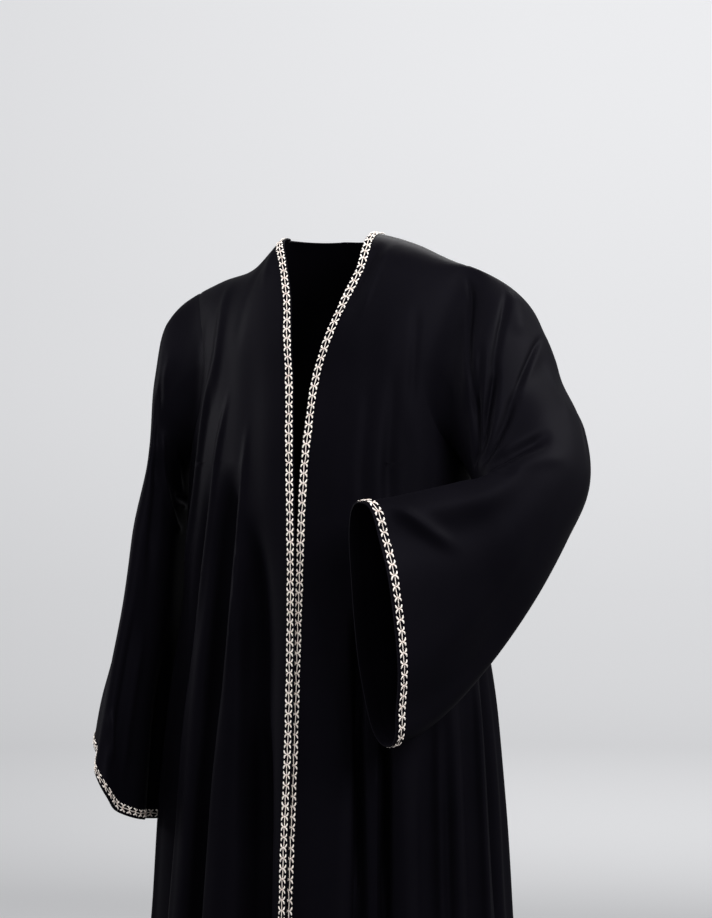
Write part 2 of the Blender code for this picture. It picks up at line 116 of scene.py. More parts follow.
# The free edges of the fronts.
FRONT_EDGES = table(
    "z right_x left_x",
    (-1.46, 0.001, -0.003),
    (-0.88, 0.003, -0.001),
    (-0.62, 0.006, 0.002),
    (-0.47, 0.006, 0.005),
    (-0.37, 0.004, 0.007),
    (-0.26, -0.001, 0.013),
    (-0.19, -0.005, 0.020),
    (-0.14, -0.011, 0.033),
    (-0.09, -0.018, 0.050),
    (-0.045, -0.034, 0.063),
    (0.004, -NECK_HALF, NECK_HALF),
)

# The armholes' heights, from the shoulder tips (0) to the underarms (9).  Above CHEST_Z the
# share of the rounding over the shoulder takes over from the height.
ARMHOLE_STEPS = table(
    "step z share",
    (0, CHEST_Z, 1.00),
    (1, CHEST_Z, 0.87),
    (2, CHEST_Z, 0.70),
    (3, CHEST_Z, 0.50),
    (4, CHEST_Z, 0.26),
    (5, CHEST_Z, 0.00),
    (6, -0.225, 0.00),
    (7, -0.268, 0.00),
    (8, -0.292, 0.00),
    (9, UNDERARM_Z, 0.00),
)
CHEST_STEP = 5            # the step at which the panels begin to round over

# Folds of the body.  Angles run round the body from the front: +90 is the wearer's left side,
# -90 the right side and 180 the middle of the back.  A ridge has a positive depth.
BODY_FOLDS = table(
    "angle_top angle_low z_top z_low half_angle depth",
    (-14, -10, -0.34, -1.46, 7.5, -0.021),
    (-24, -28, -0.24, -1.46, 5.5, 0.01),
    (-33, -36, -0.26, -1.46, 4.5, -0.01),
    (-38, -45, -0.22, -1.46, 5.5, 0.01),
    (-55, -57, -0.42, -1.46, 6.5, -0.018),
    (27.5, 28, -0.2, -0.42, 3.5, -0.007),
    (38, 38.5, -0.18, -0.42, 3.5, -0.007),
    (24.5, 23, -0.48, -1.46, 4.5, -0.022),
    (32.5, 31, -0.56, -1.46, 3.5, -0.016),
    (52, 46, -0.5, -1.46, 6.5, -0.018),
    (68, 65, -0.5, -1.46, 5, -0.016),
    (104, 106, -0.52, -1.46, 6, -0.02),
    (126, 122, -0.34, -1.46, 6, -0.018),
    (141, 143, -0.44, -1.46, 5.5, -0.025),
    (160, 162, -0.26, -1.46, 6.5, -0.019),
    (181, 184, -0.38, -1.46, 6, -0.027),
    (200, 203, -0.24, -1.46, 6, -0.017),
    (221, 219, -0.4, -1.46, 6.5, -0.025),
    (238, 241, -0.5, -1.46, 5, -0.018),
    (256, 258, -0.46, -1.46, 5.5, -0.019),
)

# Each ring of a sleeve is an oval: its centre, the half axis to the outer line (which starts
# at the shoulder tip), the half axis to the front line (which starts at the front of the
# armhole) and its squareness, 2 for an ellipse.
RING = "centre outward forward power"
SLEEVE_RIGHT = table(
    RING,
    ((-0.2110, 0.000, -0.203), (-0.0100, 0.000, 0.108), (0.004, -0.079, 0.000), 2.0),
    ((-0.2190, -0.002, -0.243), (-0.0130, 0.000, 0.092), (0.000, -0.081, 0.000), 2.0),
    ((-0.2240, -0.006, -0.310), (-0.0165, 0.000, 0.068), (0.000, -0.083, 0.000), 2.0),
    ((-0.2340, -0.010, -0.392), (-0.0215, 0.000, 0.050), (0.000, -0.087, 0.000), 2.1),
    ((-0.2450, -0.015, -0.490), (-0.0240, 0.000, 0.042), (0.000, -0.094, -0.002), 2.2),
    ((-0.2590, -0.020, -0.585), (-0.0270, 0.000, 0.040), (0.000, -0.104, -0.002), 2.3),
    ((-0.2690, -0.026, -0.658), (-0.0290, 0.000, 0.048), (0.003, -0.115, 0.004), 2.3),
    ((-0.2760, -0.032, -0.727), (-0.0300, 0.000, 0.056), (0.009, -0.128, 0.011), 2.3),
)
SLEEVE_LEFT = table(
    RING,
    ((0.2240, 0.000, -0.190), (0.0210, 0.000, 0.115), (-0.024, -0.083, -0.012), 2.0),
    ((0.2480, -0.002, -0.229), (0.0280, 0.000, 0.099), (-0.022, -0.087, -0.020), 2.0),
    ((0.2660, -0.010, -0.270), (0.0320, 0.004, 0.080), (-0.026, -0.090, -0.016), 2.0),
    ((0.2880, -0.030, -0.300), (0.0380, 0.006, 0.061), (-0.034, -0.084, -0.004), 2.0),
    ((0.2980, -0.052, -0.332), (0.0390, -0.012, 0.034), (-0.041, -0.070, 0.018), 2.1),
    ((0.2850, -0.077, -0.362), (0.0370, -0.027, 0.012), (-0.037, -0.057, 0.043), 2.2),
    ((0.2635, -0.102, -0.398), (0.0350, -0.032, -0.003), (-0.027, -0.046, 0.077), 2.3),
    ((0.2320, -0.130, -0.437), (0.0330, -0.031, -0.004), (-0.020, -0.040, 0.108), 2.4),
    ((0.1990, -0.163, -0.470), (0.0320, -0.031, -0.003), (-0.014, -0.028, 0.134), 2.5),
    ((0.1690, -0.193, -0.490), (0.0330, -0.030, -0.002), (-0.011, -0.018, 0.148), 2.5),
    ((0.1400, -0.224, -0.499), (0.0370, -0.027, 0.000), (-0.013, -0.012, 0.152), 2.5),
)
SLEEVE_STEPS = (1, 2, 2, 1, 1, 1, 1, 1, 1, 1, 1)    # weight of each pair of rings in "along"

# Folds of a sleeve.  Turn runs round the ring in degrees: 0 outer line, 90 front, 180 under,
# 270 back.  Along runs from 0 at the armhole to 1 at the cuff.
SLEEVE_FOLD = "turn_top turn_low along_top along_low half_turn depth"
RIGHT_SLEEVE_FOLDS = table(
    SLEEVE_FOLD,
    (40, 62, 0.3, 1, 16, -0.008),
    (125, 135, 0.45, 1, 18, -0.007),
    (300, 310, 0.35, 1, 20, -0.009),
    (232, 236, 0.5, 1, 16, -0.006),
)
LEFT_SLEEVE_FOLDS = table(
    SLEEVE_FOLD,
    (20, 40, 0.55, 1, 18, -0.007),
    (330, 318, 0.6, 1, 18, -0.008),
    (150, 160, 0.6, 1, 20, -0.006),
)

# ---- creases ------------------------------------------------------------------------------

# A crease is a soft trough (negative depth) or ridge along a curve through three places on
# the cloth.  On the body a place is an angle and a height, on a sleeve a turn and an along.
CREASE = "u1 v1 u2 v2 u3 v3 half_width_mm depth_mm"

BODY_CREASES = table(
    CREASE,
    # wearer's right front: the long ridges from the shoulder to the hem
    (-41, -0.05, -40, -0.14, -45, -0.24, 7, 4.2),
    (-41, -0.15, -51.5, -0.3, -65, -0.52, 5.5, 7.2),
    (-64, -0.46, -68.5, -0.78, -69.5, -1.3, 6.5, 6),
    (-31.5, -0.2, -39, -0.36, -44, -0.6, 4.5, 4.6),
    (-43.5, -0.5, -46.5, -0.85, -47, -1.34, 6, 5),
    (-21, -0.235, -23, -0.42, -25.5, -0.66, 4.5, 4),
    (-26.5, -0.58, -28.5, -0.9, -29, -1.38, 6.5, 5),
    # and the dark troughs beside them
    (-55, -0.255, -66, -0.38, -76, -0.56, 9, -6),
    (-75, -0.5, -78, -0.84, -79, -1.32, 15, -24),
    (-40, -0.3, -49, -0.5, -51.5, -0.8, 11, -15),
    (-51, -0.66, -52, -0.98, -52.5, -1.38, 12, -16),
    (-26.5, -0.3, -31, -0.48, -32, -0.78, 13, -26),
    (-31.8, -0.62, -33.2, -0.95, -33.5, -1.4, 14, -28),
    (-18.5, -0.36, -15.5, -0.56, -12.5, -0.84, 16, -24),
    (-13, -0.62, -12, -0.95, -12.5, -1.4, 19, -29),
    # right chest
    (-54.5, -0.08, -56, -0.17, -58, -0.28, 8, -1.4),
    (-20, -0.02, -26, -0.08, -29, -0.16, 8, -1.6),
    (-19, -0.006, -18.5, -0.035, -19, -0.075, 5, 1.8),
    # wearer's left front: radial folds from the neck, then the chest
    (26, -0.012, 22, -0.055, 17.5, -0.125, 6, -2.8),
    (30, -0.01, 27, -0.055, 23, -0.12, 5, 1.8),
    (47, -0.09, 48, -0.16, 47, -0.25, 7, -1.8),
    (29, -0.19, 28, -0.27, 26.5, -0.37, 8, -1.6),
    (39, -0.17, 38.5, -0.26, 37, -0.37, 8, -1.8),
    # lower left front: two black troughs, then softer folds and one sharp ridge
    (23.2, -0.48, 23.6, -0.66, 22.6, -0.92, 4.8, -17),
    (22.8, -0.8, 22.4, -1.08, 22, -1.4, 5.5, -17),
    (26.5, -0.52, 26.8, -0.8, 26, -1.25, 6, 3.6),
    (32.6, -0.58, 32.3, -0.74, 31.2, -0.95, 5.6, -19),
    (31.6, -0.84, 31, -1.1, 30.6, -1.4, 6.2, -18),
    (29.8, -0.64, 29.4, -0.84, 28.6, -1.2, 4, 3),
    (54.5, -0.6, 53, -0.8, 51.5, -1.15, 7, 4),
    (57.5, -0.66, 55.5, -0.86, 54, -1.15, 6, -4),
    (63, -0.56, 60, -0.76, 57.5, -1.1, 10, 4.4),
    (47, -0.62, 46, -0.9, 44, -1.3, 12, -4.4),
    (76, -0.52, 74.5, -0.72, 72.5, -1, 5.5, 6.2),
    (73.5, -0.88, 72, -1.12, 71.5, -1.38, 6.5, 6),
    (84.5, -0.5, 82.5, -0.74, 80, -1.05, 8, -14),
    (81, -0.9, 80, -1.14, 79.5, -1.38, 8.5, -13),
    # back
    (96, -0.48, 97, -0.78, 97, -1.28, 10, 6),
    (112, -0.34, 114, -0.58, 114, -1.1, 10, 5),
    (133, -0.24, 133.5, -0.48, 132, -0.98, 9, 5),
    (150, -0.19, 151, -0.42, 152, -0.88, 9, 4.5),
    (147, -0.08, 141, -0.16, 136, -0.28, 10, -2.2),
    (171, -0.17, 170, -0.38, 171, -0.84, 8.5, 5),
    (191, -0.2, 192, -0.44, 193, -0.98, 9.5, 5),
    (211, -0.22, 210.5, -0.47, 211, -0.94, 9, 4.5),
    (214, -0.09, 220, -0.17, 225, -0.3, 10, -2.2),
    (230, -0.28, 229, -0.54, 229, -1.08, 9, 5),
    (247, -0.36, 248, -0.62, 249, -1.18, 9, 5),
    (265, -0.44, 266, -0.72, 266, -1.28, 9, 5.5),
    (176, -0.66, 175, -0.92, 174, -1.38, 7, -6),
    (154, -0.74, 153, -1.02, 153, -1.4, 7, -6),
    (206, -0.7, 208, -0.97, 209, -1.38, 8, -6),
    (126, -0.56, 124.5, -0.84, 124, -1.34, 8, -7),
    (239, -0.6, 240.5, -0.88, 241, -1.36, 8, -6.5),
)

RIGHT_SLEEVE_CREASES = table(
    CREASE,
    # the long ridge that loops under the armhole, and the dark trough outside it
    (62, 0.08, 92, 0.12, 115, 0.27, 5, 3),
    (108, 0.19, 124, 0.36, 148, 0.49, 4.8, 4),
    (136, 0.44, 154, 0.51, 176, 0.52, 4.5, 3.5),
    (74, 0.1, 98, 0.22, 109, 0.42, 7, -5),
    (104, 0.34, 116, 0.5, 130, 0.66, 9, -8),
    # the crumple between sleeve and body
    (132, 0.08, 152, 0.22, 168, 0.36, 5, 3),
    (150, 0.46, 163, 0.43, 178, 0.44, 4, 3),
    (150, 0.4, 164, 0.38, 178, 0.38, 4, -3),
    # forearm
    (72, 0.52, 80, 0.7, 92, 0.9, 10, 5),
    (94, 0.845, 105, 0.885, 118, 0.93, 5.5, 5),
    (50, 0.48, 54, 0.7, 56, 0.96, 11, -5),
    (104, 0.66, 110, 0.82, 118, 0.98, 9, -5),
    (128, 0.68, 132, 0.82, 138, 0.97, 8, 4),
    (18, 0.4, 14, 0.66, 10, 0.96, 12, 4),
    (24, 0.05, 32, 0.22, 34, 0.44, 11, 2.4),
    (205, 0.12, 212, 0.42, 210, 0.82, 10, -4.5),
    (250, 0.12, 262, 0.4, 268, 0.78, 10, 4.5),
    (285, 0.1, 288, 0.36, 284, 0.68, 9, -4.5),
    (330, 0.16, 334, 0.46, 338, 0.86, 11, 4),
    (306, 0.5, 304, 0.72, 308, 0.96, 9, 4.5),
)

LEFT_SLEEVE_CREASES = table(
    CREASE,
    # from the shoulder to the inner elbow: the long thin line and the shorter one beside it
    (36, 0.01, 60, 0.085, 80, 0.2, 4.2, -4.6),
    (72, 0.15, 90, 0.27, 114, 0.385, 5.5, -8),
    (48, 0.125, 66, 0.18, 86, 0.255, 4, -1.2),
    (42, 0.13, 58, 0.195, 78, 0.285, 5.5, 1.2),
    # the fold from the top of the shoulder, with its lit ridge
    (356, 0.085, 34, 0.175, 55, 0.235, 5, -4.8),
    (44, 0.205, 68, 0.3, 100, 0.395, 6, -8.5),
    (352, 0.1, 6, 0.16, 16, 0.235, 15, 2.8),
    # the fold from the outer arm
    (340, 0.245, 14, 0.312, 44, 0.385, 4.2, -4.2),
    (30, 0.355, 62, 0.41, 102, 0.415, 5.5, -7.2),
    (346, 0.285, 18, 0.345, 50, 0.405, 7, 1),
    (344, 0.33, 352, 0.41, 354, 0.48, 10, 1.4),
    # the crook of the elbow
    (14, 0.49, 50, 0.503, 96, 0.485, 8.5, -10),
    (352, 0.53, 30, 0.545, 66, 0.565, 11, 2.6),
    (46, 0.56, 60, 0.585, 84, 0.575, 5.5, -2.2),
    # forearm
    (74, 0.96, 46, 0.88, 16, 0.79, 10, 5.8),
    (350, 0.6, 340, 0.76, 336, 0.95, 15, -2.2),
    (176, 0.45, 196, 0.66, 204, 0.94, 11, -4),
    (222, 0.4, 232, 0.64, 238, 0.95, 12, 4),
    (262, 0.46, 268, 0.68, 272, 0.95, 11, -4),
    (250, 0.1, 256, 0.24, 252, 0.42, 9, -4),
    (286, 0.08, 290, 0.26, 288, 0.46, 10, 3.6),
    (318, 0.3, 318, 0.42, 322, 0.54, 9, -3),
)
CREASE_SEGMENTS = 18      # straight stretches that stand for a crease's curve
CREASE_REACH = 3.5        # half widths past which a crease is nothing
CREASE_FADE = 0.3         # share of its length over which a crease dies out at each end

# Slow unevenness of the cloth: waves round it and down it.
WAVE = "around down phase depth"
BODY_WAVES = table(
    WAVE,
    (11.0, 2.3, 0.4, 0.0007),
    (17.0, -1.3, 1.9, 0.0005),
    (29.0, 1.7, 4.1, 0.00022),
    (7.0, 3.1, 5.3, 0.0004),
)
SLEEVE_WAVES = table(
    WAVE,
    (5.0, 1.7, 1.1, 0.0006),
    (9.0, -2.1, 3.3, 0.0004),
    (3.0, 3.9, 2.2, 0.0004),
)

SEAM_DIP = 0.0007         # how far the cloth is drawn in along a sewn seam
SEAM_DIP_WIDTH = 0.0045
PUCKER_DEPTH = 0.00018    # little puckers along the seams
PUCKER_LENGTH = 0.021
PUCKER_SWELL = 2.7        # lengths over which they come and go
PUCKER_WIDTH = 2.2        # how much wider they reach than the dip
SEAM_BLOCK = 4000         # points measured against a seam at a time
HEM_WIDTH = 0.016         # depth of the turned hems on the inside
HEM_EXTRA = 0.0006        # thickness that they add there

# How each sleeve goes on in the panels' direction before it takes its own: for how many rows,
# with what pull, and how fully.
SetIn = namedtuple("SetIn", "rows pull strength")
RIGHT_SET_IN = SetIn(12, 0.9, 0.55)
LEFT_SET_IN = SetIn(30, 1.1, 1.0)
SET_IN_START = 0.12       # share of the armhole's height, up from the underarm, that lacks it
SET_IN_FADE = 0.40        # share of the height over which it takes hold, above that
LEAD_COLUMNS = 4          # columns of a panel that give its direction at the armhole
ARMHOLE_CALM = 0.06       # width beside the armholes over which the slow waves die out
WAVES_TOP_Z = 0.02        # there are no slow waves above this height
WAVES_FADE = 0.25         # height over which they set in below it
SLEEVE_WAVES_FADE = 0.2   # how far along a sleeve its own waves set in

# ---- fineness of the grids ----------------------------------------------------------------

LOWER_COUNT = 190         # rows of faces from the hem to the underarms
ARMHOLE_COUNT = 9         # rows of faces to each step of the armholes
ARMHOLE_ROWS = ARMHOLE_COUNT * (len(ARMHOLE_STEPS) - 1)      # from underarm to shoulder tip
EDGE_COUNT = 4            # columns of faces in the strip under the braid
FRONT_COUNT = 118         # columns of faces in the rest of a front
NECK_COUNT = 26           # columns of the back on each side of its middle, under the neck
SHOULDER_COUNT = 62       # and between there and the side seam
SLEEVE_COUNT = 16         # rings of faces to each unit of SLEEVE_STEPS

# ---- small helpers ------------------------------------------------------------------------


def unit(vectors):
    """The vectors, each of length one."""
    return vectors / np.maximum(np.linalg.norm(vectors, axis=-1, keepdims=True), 1e-12)


def ease(value):
    """A smooth step from 0 to 1."""
    value = np.clip(value, 0.0, 1.0)
    return value * value * (3.0 - 2.0 * value)


def hermite(share, start, leave, end, arrive):
    """A curve from one value to another that leaves and arrives at given rates."""
    return (start + (end - start) * share ** 2 * (3 - 2 * share)
            + leave * share * (1 - share) ** 2 - arrive * share ** 2 * (1 - share))


def table_value(position, positions, values):
    """A smooth curve through a table whose positions rise, read at any number of places."""
    positions = np.asarray(positions, float)
    values = np.asarray(values, float)
    slopes = np.gradient(values, positions)
    position = np.clip(position, positions[0], positions[-1])
    index = np.searchsorted(positions, position, side="right") - 1
    index = np.minimum(index, len(positions) - 2)
    span = positions[index + 1] - positions[index]
    return hermite((position - positions[index]) / span, values[index], span * slopes[index],
                   values[index + 1], span * slopes[index + 1])


def column(rows, name, position, key="z"):
    """One named column of a table, read at positions of its key column."""
    return table_value(position, [getattr(row, key) for row in rows],
                       [getattr(row, name) for row in rows])


def angle_between(first, second):
    """The difference of angles in degrees, from -180 to 180."""
    return (first - second + 180.0) % 360.0 - 180.0


# ---- the body surface ---------------------------------------------------------------------


def shoulder_z(x):
    """Height of the shoulder line over a point."""
    left = column(SHOULDER_LEFT, "z", np.abs(x), key="x")
    right = column(SHOULDER_RIGHT, "z", np.abs(x), key="x")
    return np.where(x > 0.0, left, right)


def back_top(x):
    """Height of the top line of the back's form: the shoulder line, raised behind the neck."""
    inside = np.clip(np.abs(x) / NECK_HALF, 0.0, 1.0)
    return shoulder_z(x) + NAPE_RISE * (1.0 + np.cos(math.pi * inside)) / 2.0


def body_fold(angle, z):
    """How far the folds move the cloth out at an angle and height."""
    total = np.zeros(np.broadcast(angle, z).shape)
    for fold in BODY_FOLDS:
        down = (fold.z_top - z) / (fold.z_top - fold.z_low)
        middle = fold.angle_top + (fold.angle_low - fold.angle_top) * down
        across = angle_between(angle, middle) / fold.half_angle
        strength = ease((fold.z_top - z) / FOLD_FADE)
        strength = strength * (1.0 - FOLD_GROWTH + FOLD_GROWTH * down)
        if fold.z_low > HEM_Z:
            strength = strength * ease((z - fold.z_low) / FOLD_END_FADE)
        total += fold.depth * strength * np.exp(-across * across)
    return total


def body_point(angle, z, over):
    """Points of the body form.  Over is 0 up to CHEST_Z and 90 on the shoulder line."""
    angle, z, over = np.broadcast_arrays(angle, z, over)
    turn = np.radians(angle)
    climb = np.sin(np.radians(over))
    for _ in range(SETTLE_ROUNDS):
        x = column(BODY, "half_width", z) * np.sin(turn)
        top = np.where(np.cos(turn) < 0.0, back_top(x), shoulder_z(x))
        z = np.where(over > 0.0, CHEST_Z + (top - CHEST_Z) * climb, z)
    depth = np.where(np.cos(turn) < 0.0, column(BODY, "back_depth", z),
                     column(BODY, "front_depth", z))
    depth = depth * np.maximum(0.0, 1.0 - climb ** SHOULDER_POWER) ** (1.0 / SHOULDER_POWER)
    out = body_fold(angle, z) * (1.0 - climb)
    return np.stack((x + out * np.sin(turn), -(depth + out) * np.cos(turn), z), axis=-1)


def on_body(angle, z):
    """Points of the body form at angles and heights, over the shoulders too."""
    x = column(BODY, "half_width", z) * np.sin(np.radians(angle))
    climb = np.clip((z - CHEST_Z) / (shoulder_z(x) - CHEST_Z), 0.0, 0.999)
    return body_point(angle, np.minimum(z, CHEST_Z), np.degrees(np.arcsin(climb)))


def body_rows():
    """Every row of the panels from the hem up, as its height and its share of the rounding."""
    lower = np.linspace(HEM_Z, UNDERARM_Z, LOWER_COUNT, endpoint=False)
    steps = np.linspace(ARMHOLE_STEPS[-1].step, 0.0, ARMHOLE_ROWS + 1)
    z = column(ARMHOLE_STEPS, "z", steps, key="step")
    share = column(ARMHOLE_STEPS, "share", steps, key="step")
    z = np.where(steps <= CHEST_STEP, CHEST_Z, np.minimum(z, CHEST_Z))
    share = np.where(steps >= CHEST_STEP, 0.0, np.maximum(share, 0.0))
    return (np.concatenate([lower, z])[:, None],
            np.concatenate([np.zeros(len(lower)), share])[:, None])


def armhole_angle(z, share):
    """Angle at which the panels stop, measured from the front: 90 at the side seams."""
    climb = np.clip((z - UNDERARM_Z) / (CHEST_Z - UNDERARM_Z), 0.0, 1.0)
    angle = 90.0 - ARMHOLE_SWEEP * np.sqrt(1.0 - (1.0 - climb) ** 2)
    width = column(BODY, "half_width", z)
    chest_x = width * np.sin(np.radians(angle))
    reach = np.sin(share * math.pi / 2) ** REACH_POWER
    upper = np.degrees(np.arcsin((chest_x + (TIP_X - chest_x) * reach) / width))
    return np.where(share > 0.0, upper, angle)


def edge_angle(side, z, share):
    """Angle of a front's free edge."""
    name = "left_x" if side > 0 else "right_x"
    climb = np.sin(share * math.pi / 2)
    height = z + (shoulder_z(np.array(side * NECK_HALF)) - z) * climb
    height = np.where(share > 0.0, height, z)
    x = column(FRONT_EDGES, name, height)
    return np.degrees(np.arcsin(x / column(BODY, "half_width", height)))


def overlap_lean(side, arc, z):
    """How far a front leans out (right) or in (left) near its edge, to lie on the other."""
    across = ease(1.0 - arc / OVERLAP_REACH)
    height = ease((OVERLAP_TOP_Z + OVERLAP_FADE - z) / OVERLAP_FADE)
    return -side * OVERLAP_DEPTH * across * height


def grid_normals(grid, closed):
    """Normals of a grid whose rows climb and whose columns turn to the left."""
    if closed:
        across = np.roll(grid, -1, axis=1) - np.roll(grid, 1, axis=1)
    else:
        across = np.gradient(grid, axis=1)
    return unit(np.cross(across, np.gradient(grid, axis=0)))


# ---- creases and waves --------------------------------------------------------------------


Path = namedtuple("Path", "points half_width depth")


def crease_paths(creases, place):
    """The creases as curves through their three places."""
    share = np.linspace(0.0, 1.0, CREASE_SEGMENTS + 1)
    weights = ((1 - share) * (1 - 2 * share), 4 * share * (1 - share), share * (2 * share - 1))
    paths = []
    for crease in creases:
        u2 = crease.u1 + angle_between(crease.u2, crease.u1)
        u3 = u2 + angle_between(crease.u3, crease.u2)
        u = weights[0] * crease.u1 + weights[1] * u2 + weights[2] * u3
        v = weights[0] * crease.v1 + weights[1] * crease.v2 + weights[2] * crease.v3
        paths.append(Path(place(u, v), crease.half_width_mm * MM, crease.depth_mm * MM))
    return paths


def crease_depth(points, paths):
    """How far the creases move each point out."""
    total = np.zeros(len(points))
    for path in paths:
        curve = path.points
        reach = path.half_width * CREASE_REACH
        near = np.all((points > curve.min(axis=0) - reach) & (points < curve.max(axis=0) + reach),
                      axis=1)
        here = points[near]
        if len(here) == 0:
            continue
        nearest = np.full(len(here), np.inf)
        travelled = np.zeros(len(here))
        for index in range(CREASE_SEGMENTS):
            step = curve[index + 1] - curve[index]
            share = np.clip((here - curve[index]) @ step / (step @ step), 0.0, 1.0)
            distance = np.linalg.norm(here - curve[index] - share[:, None] * step, axis=1)
            closer = distance < nearest
            nearest[closer] = distance[closer]
            travelled[closer] = (index + share[closer]) / CREASE_SEGMENTS
        strength = ease(np.minimum(travelled, 1.0 - travelled) / CREASE_FADE)
        total[near] += path.depth * strength * np.exp(-(nearest / path.half_width) ** 2)
    return total


def wave_depth(around, down, waves):
    """How far the slow waves move the cloth out.  Around is in turns."""
    total = np.zeros(np.broadcast(around, down).shape)
    for wave in waves:
        angle = 2.0 * math.pi * (wave.around * around + wave.down * down) + wave.phase
        total += wave.depth * np.sin(angle)
    return total


def seam_depth(points, seam):
    """How far the cloth is drawn in beside a seam, which is a row of points."""
    lengths = np.concatenate([[0.0], np.cumsum(np.linalg.norm(np.diff(seam, axis=0), axis=1))])
    total = np.zeros(len(points))
    low = seam.min(axis=0) - 3 * SEAM_DIP_WIDTH
    high = seam.max(axis=0) + 3 * SEAM_DIP_WIDTH
    near = np.nonzero(np.all((points > low) & (points < high), axis=1))[0]
    for start in range(0, len(near), SEAM_BLOCK):
        part = near[start:start + SEAM_BLOCK]
        distance = np.linalg.norm(points[part][:, None] - seam[None], axis=2)
        closest = distance.argmin(axis=1)
        nearest = distance.min(axis=1)
        phase = 2.0 * math.pi * lengths[closest] / PUCKER_LENGTH
        pucker = np.sin(phase) * np.sin(phase / PUCKER_SWELL)
        fall = np.exp(-(nearest / SEAM_DIP_WIDTH) ** 2)
        wide = np.exp(-(nearest / SEAM_DIP_WIDTH / PUCKER_WIDTH) ** 2)
        total[part] = -SEAM_DIP * fall + PUCKER_DEPTH * pucker * wide
    return total


# ---- panels and sleeves -------------------------------------------------------------------


def finish_panel(name, sign, grid, angles, paths):
    """Add the creases, waves and seam lines to a panel, along its outward normals."""
    points = grid.reshape(-1, 3)
    depth = crease_depth(points, paths).reshape(angles.shape)
    calm = ease((WAVES_TOP_Z - grid[..., 2]) / WAVES_FADE)
    below = ease((UNDERARM_Z - grid[..., 2]) / ARMHOLE_CALM)
    for border in (0, -1) if name == "back" else (-1,):
        calm = calm * np.maximum(below, ease(distance_from(grid, border, 1) / ARMHOLE_CALM))
    depth += wave_depth(angles / 360.0, grid[..., 2], BODY_WAVES) * calm
    for seam in panel_seams(name, grid):
        depth += seam_depth(points, seam).reshape(angles.shape)
    return grid + sign * grid_normals(grid, closed=False) * depth[..., None]


def front_panel(side):
    """Points and angles of a front, rows from the hem up, columns from the free edge."""
    z, share = body_rows()
    width = column(BODY, "half_width", z)
    start = edge_angle(side, z, share)
    strip = start + side * np.degrees(EDGE_STRIP / width)
    end = side * armhole_angle(z, share)
    inner = np.linspace(0.0, 1.0, EDGE_COUNT + 1)[None, :-1]
    outer = np.linspace(0.0, 1.0, FRONT_COUNT + 1)[None]
    angles = np.concatenate([start + (strip - start) * inner, strip + (end - strip) * outer],
                            axis=1)
    grid = body_point(angles, z, 90.0 * share)
    arc = np.abs(np.radians(angles - start)) * width
    normals = side * grid_normals(grid, closed=False)
    return grid + normals * overlap_lean(side, arc, grid[..., 2])[..., None], angles


def back_panel():
    """Points and angles of the back, rows from the hem up, columns from left to right."""
    z, share = body_rows()
    inner = np.linspace(0.0, NECK_SHARE, NECK_COUNT + 1)
    outer = np.linspace(NECK_SHARE, 1.0, SHOULDER_COUNT + 1)
    half = np.concatenate([inner, outer[1:]])
    across = np.concatenate([-half[:0:-1], half])[None]
    angles = 180.0 + across * armhole_angle(z, share)
    x = column(BODY, "half_width", np.array(0.0)) * np.sin(np.radians(angles))
    inside = np.maximum(0.0, 1.0 - (x / NECK_HALF) ** 2)
    return body_point(angles, z, share * (90.0 - NAPE_DROP * np.sqrt(inside))), angles


def panel_seams(name, grid):
    """The seams that show beside a panel: sides, shoulders and the right armhole."""
    side_rows = slice(None, LOWER_COUNT + 1)
    if name == "front_right":
        return [grid[:, -1], grid[-1]]
    if name == "front_left":
        return [grid[side_rows, -1], grid[-1]]
    shoulders = grid[-1][np.abs(grid[-1, :, 0]) >= NECK_HALF]
    return [grid[side_rows, 0], grid[:, -1], shoulders[shoulders[:, 0] > 0.0],
            shoulders[shoulders[:, 0] < 0.0]]


def oval(ring, turns):
    """Points of a sleeve ring at the given turns in degrees."""
    power = 2.0 / ring.power
    across = np.cos(np.radians(turns))
    along = np.sin(np.radians(turns))
    outward = np.copysign(np.abs(across) ** power, across)
    forward = np.copysign(np.abs(along) ** power, along)
    return (np.array(ring.centre) + outward[:, None] * np.array(ring.outward)
            + forward[:, None] * np.array(ring.forward))


def between(before, start, end, after, share):
    """A smooth curve through four rings, read between the middle two."""
    return 0.5 * (2 * start + (end - before) * share
                  + (2 * before - 5 * start + 4 * end - after) * share ** 2
                  + (3 * start - before - 3 * end + after) * share ** 3)


def sleeve_fold(folds, turn, along):
    """How far a sleeve's folds move the cloth out."""
    total = np.zeros(np.broadcast(turn, along).shape)
    for fold in folds:
        down = (along - fold.along_top) / (fold.along_low - fold.along_top)
        middle = fold.turn_top + (fold.turn_low - fold.turn_top) * down
        across = angle_between(turn, middle) / fold.half_turn
        total += fold.depth * ease(down / SLEEVE_FOLD_FADE) * np.exp(-across * across)
    return total


def sleeve_rows(armhole, shapes):
    """Rings of points from the armhole to the cuff, and how far along each one is."""
    turns = np.arange(len(armhole)) * 360.0 / len(armhole)
    rings = [armhole] + [oval(ring, turns) for ring in shapes]
    steps = SLEEVE_STEPS[:len(shapes)]
    rows = []
    along = []
    for index, step in enumerate(steps):
        before = rings[max(index - 1, 0)]
        after = rings[min(index + 2, len(rings) - 1)]
        for share in np.arange(step * SLEEVE_COUNT) / (step * SLEEVE_COUNT):
            rows.append(between(before, rings[index], rings[index + 1], after, share))
            along.append((sum(steps[:index]) + share * step) / sum(steps))
    return np.array(rows + [rings[-1]]), np.array(along + [1.0])


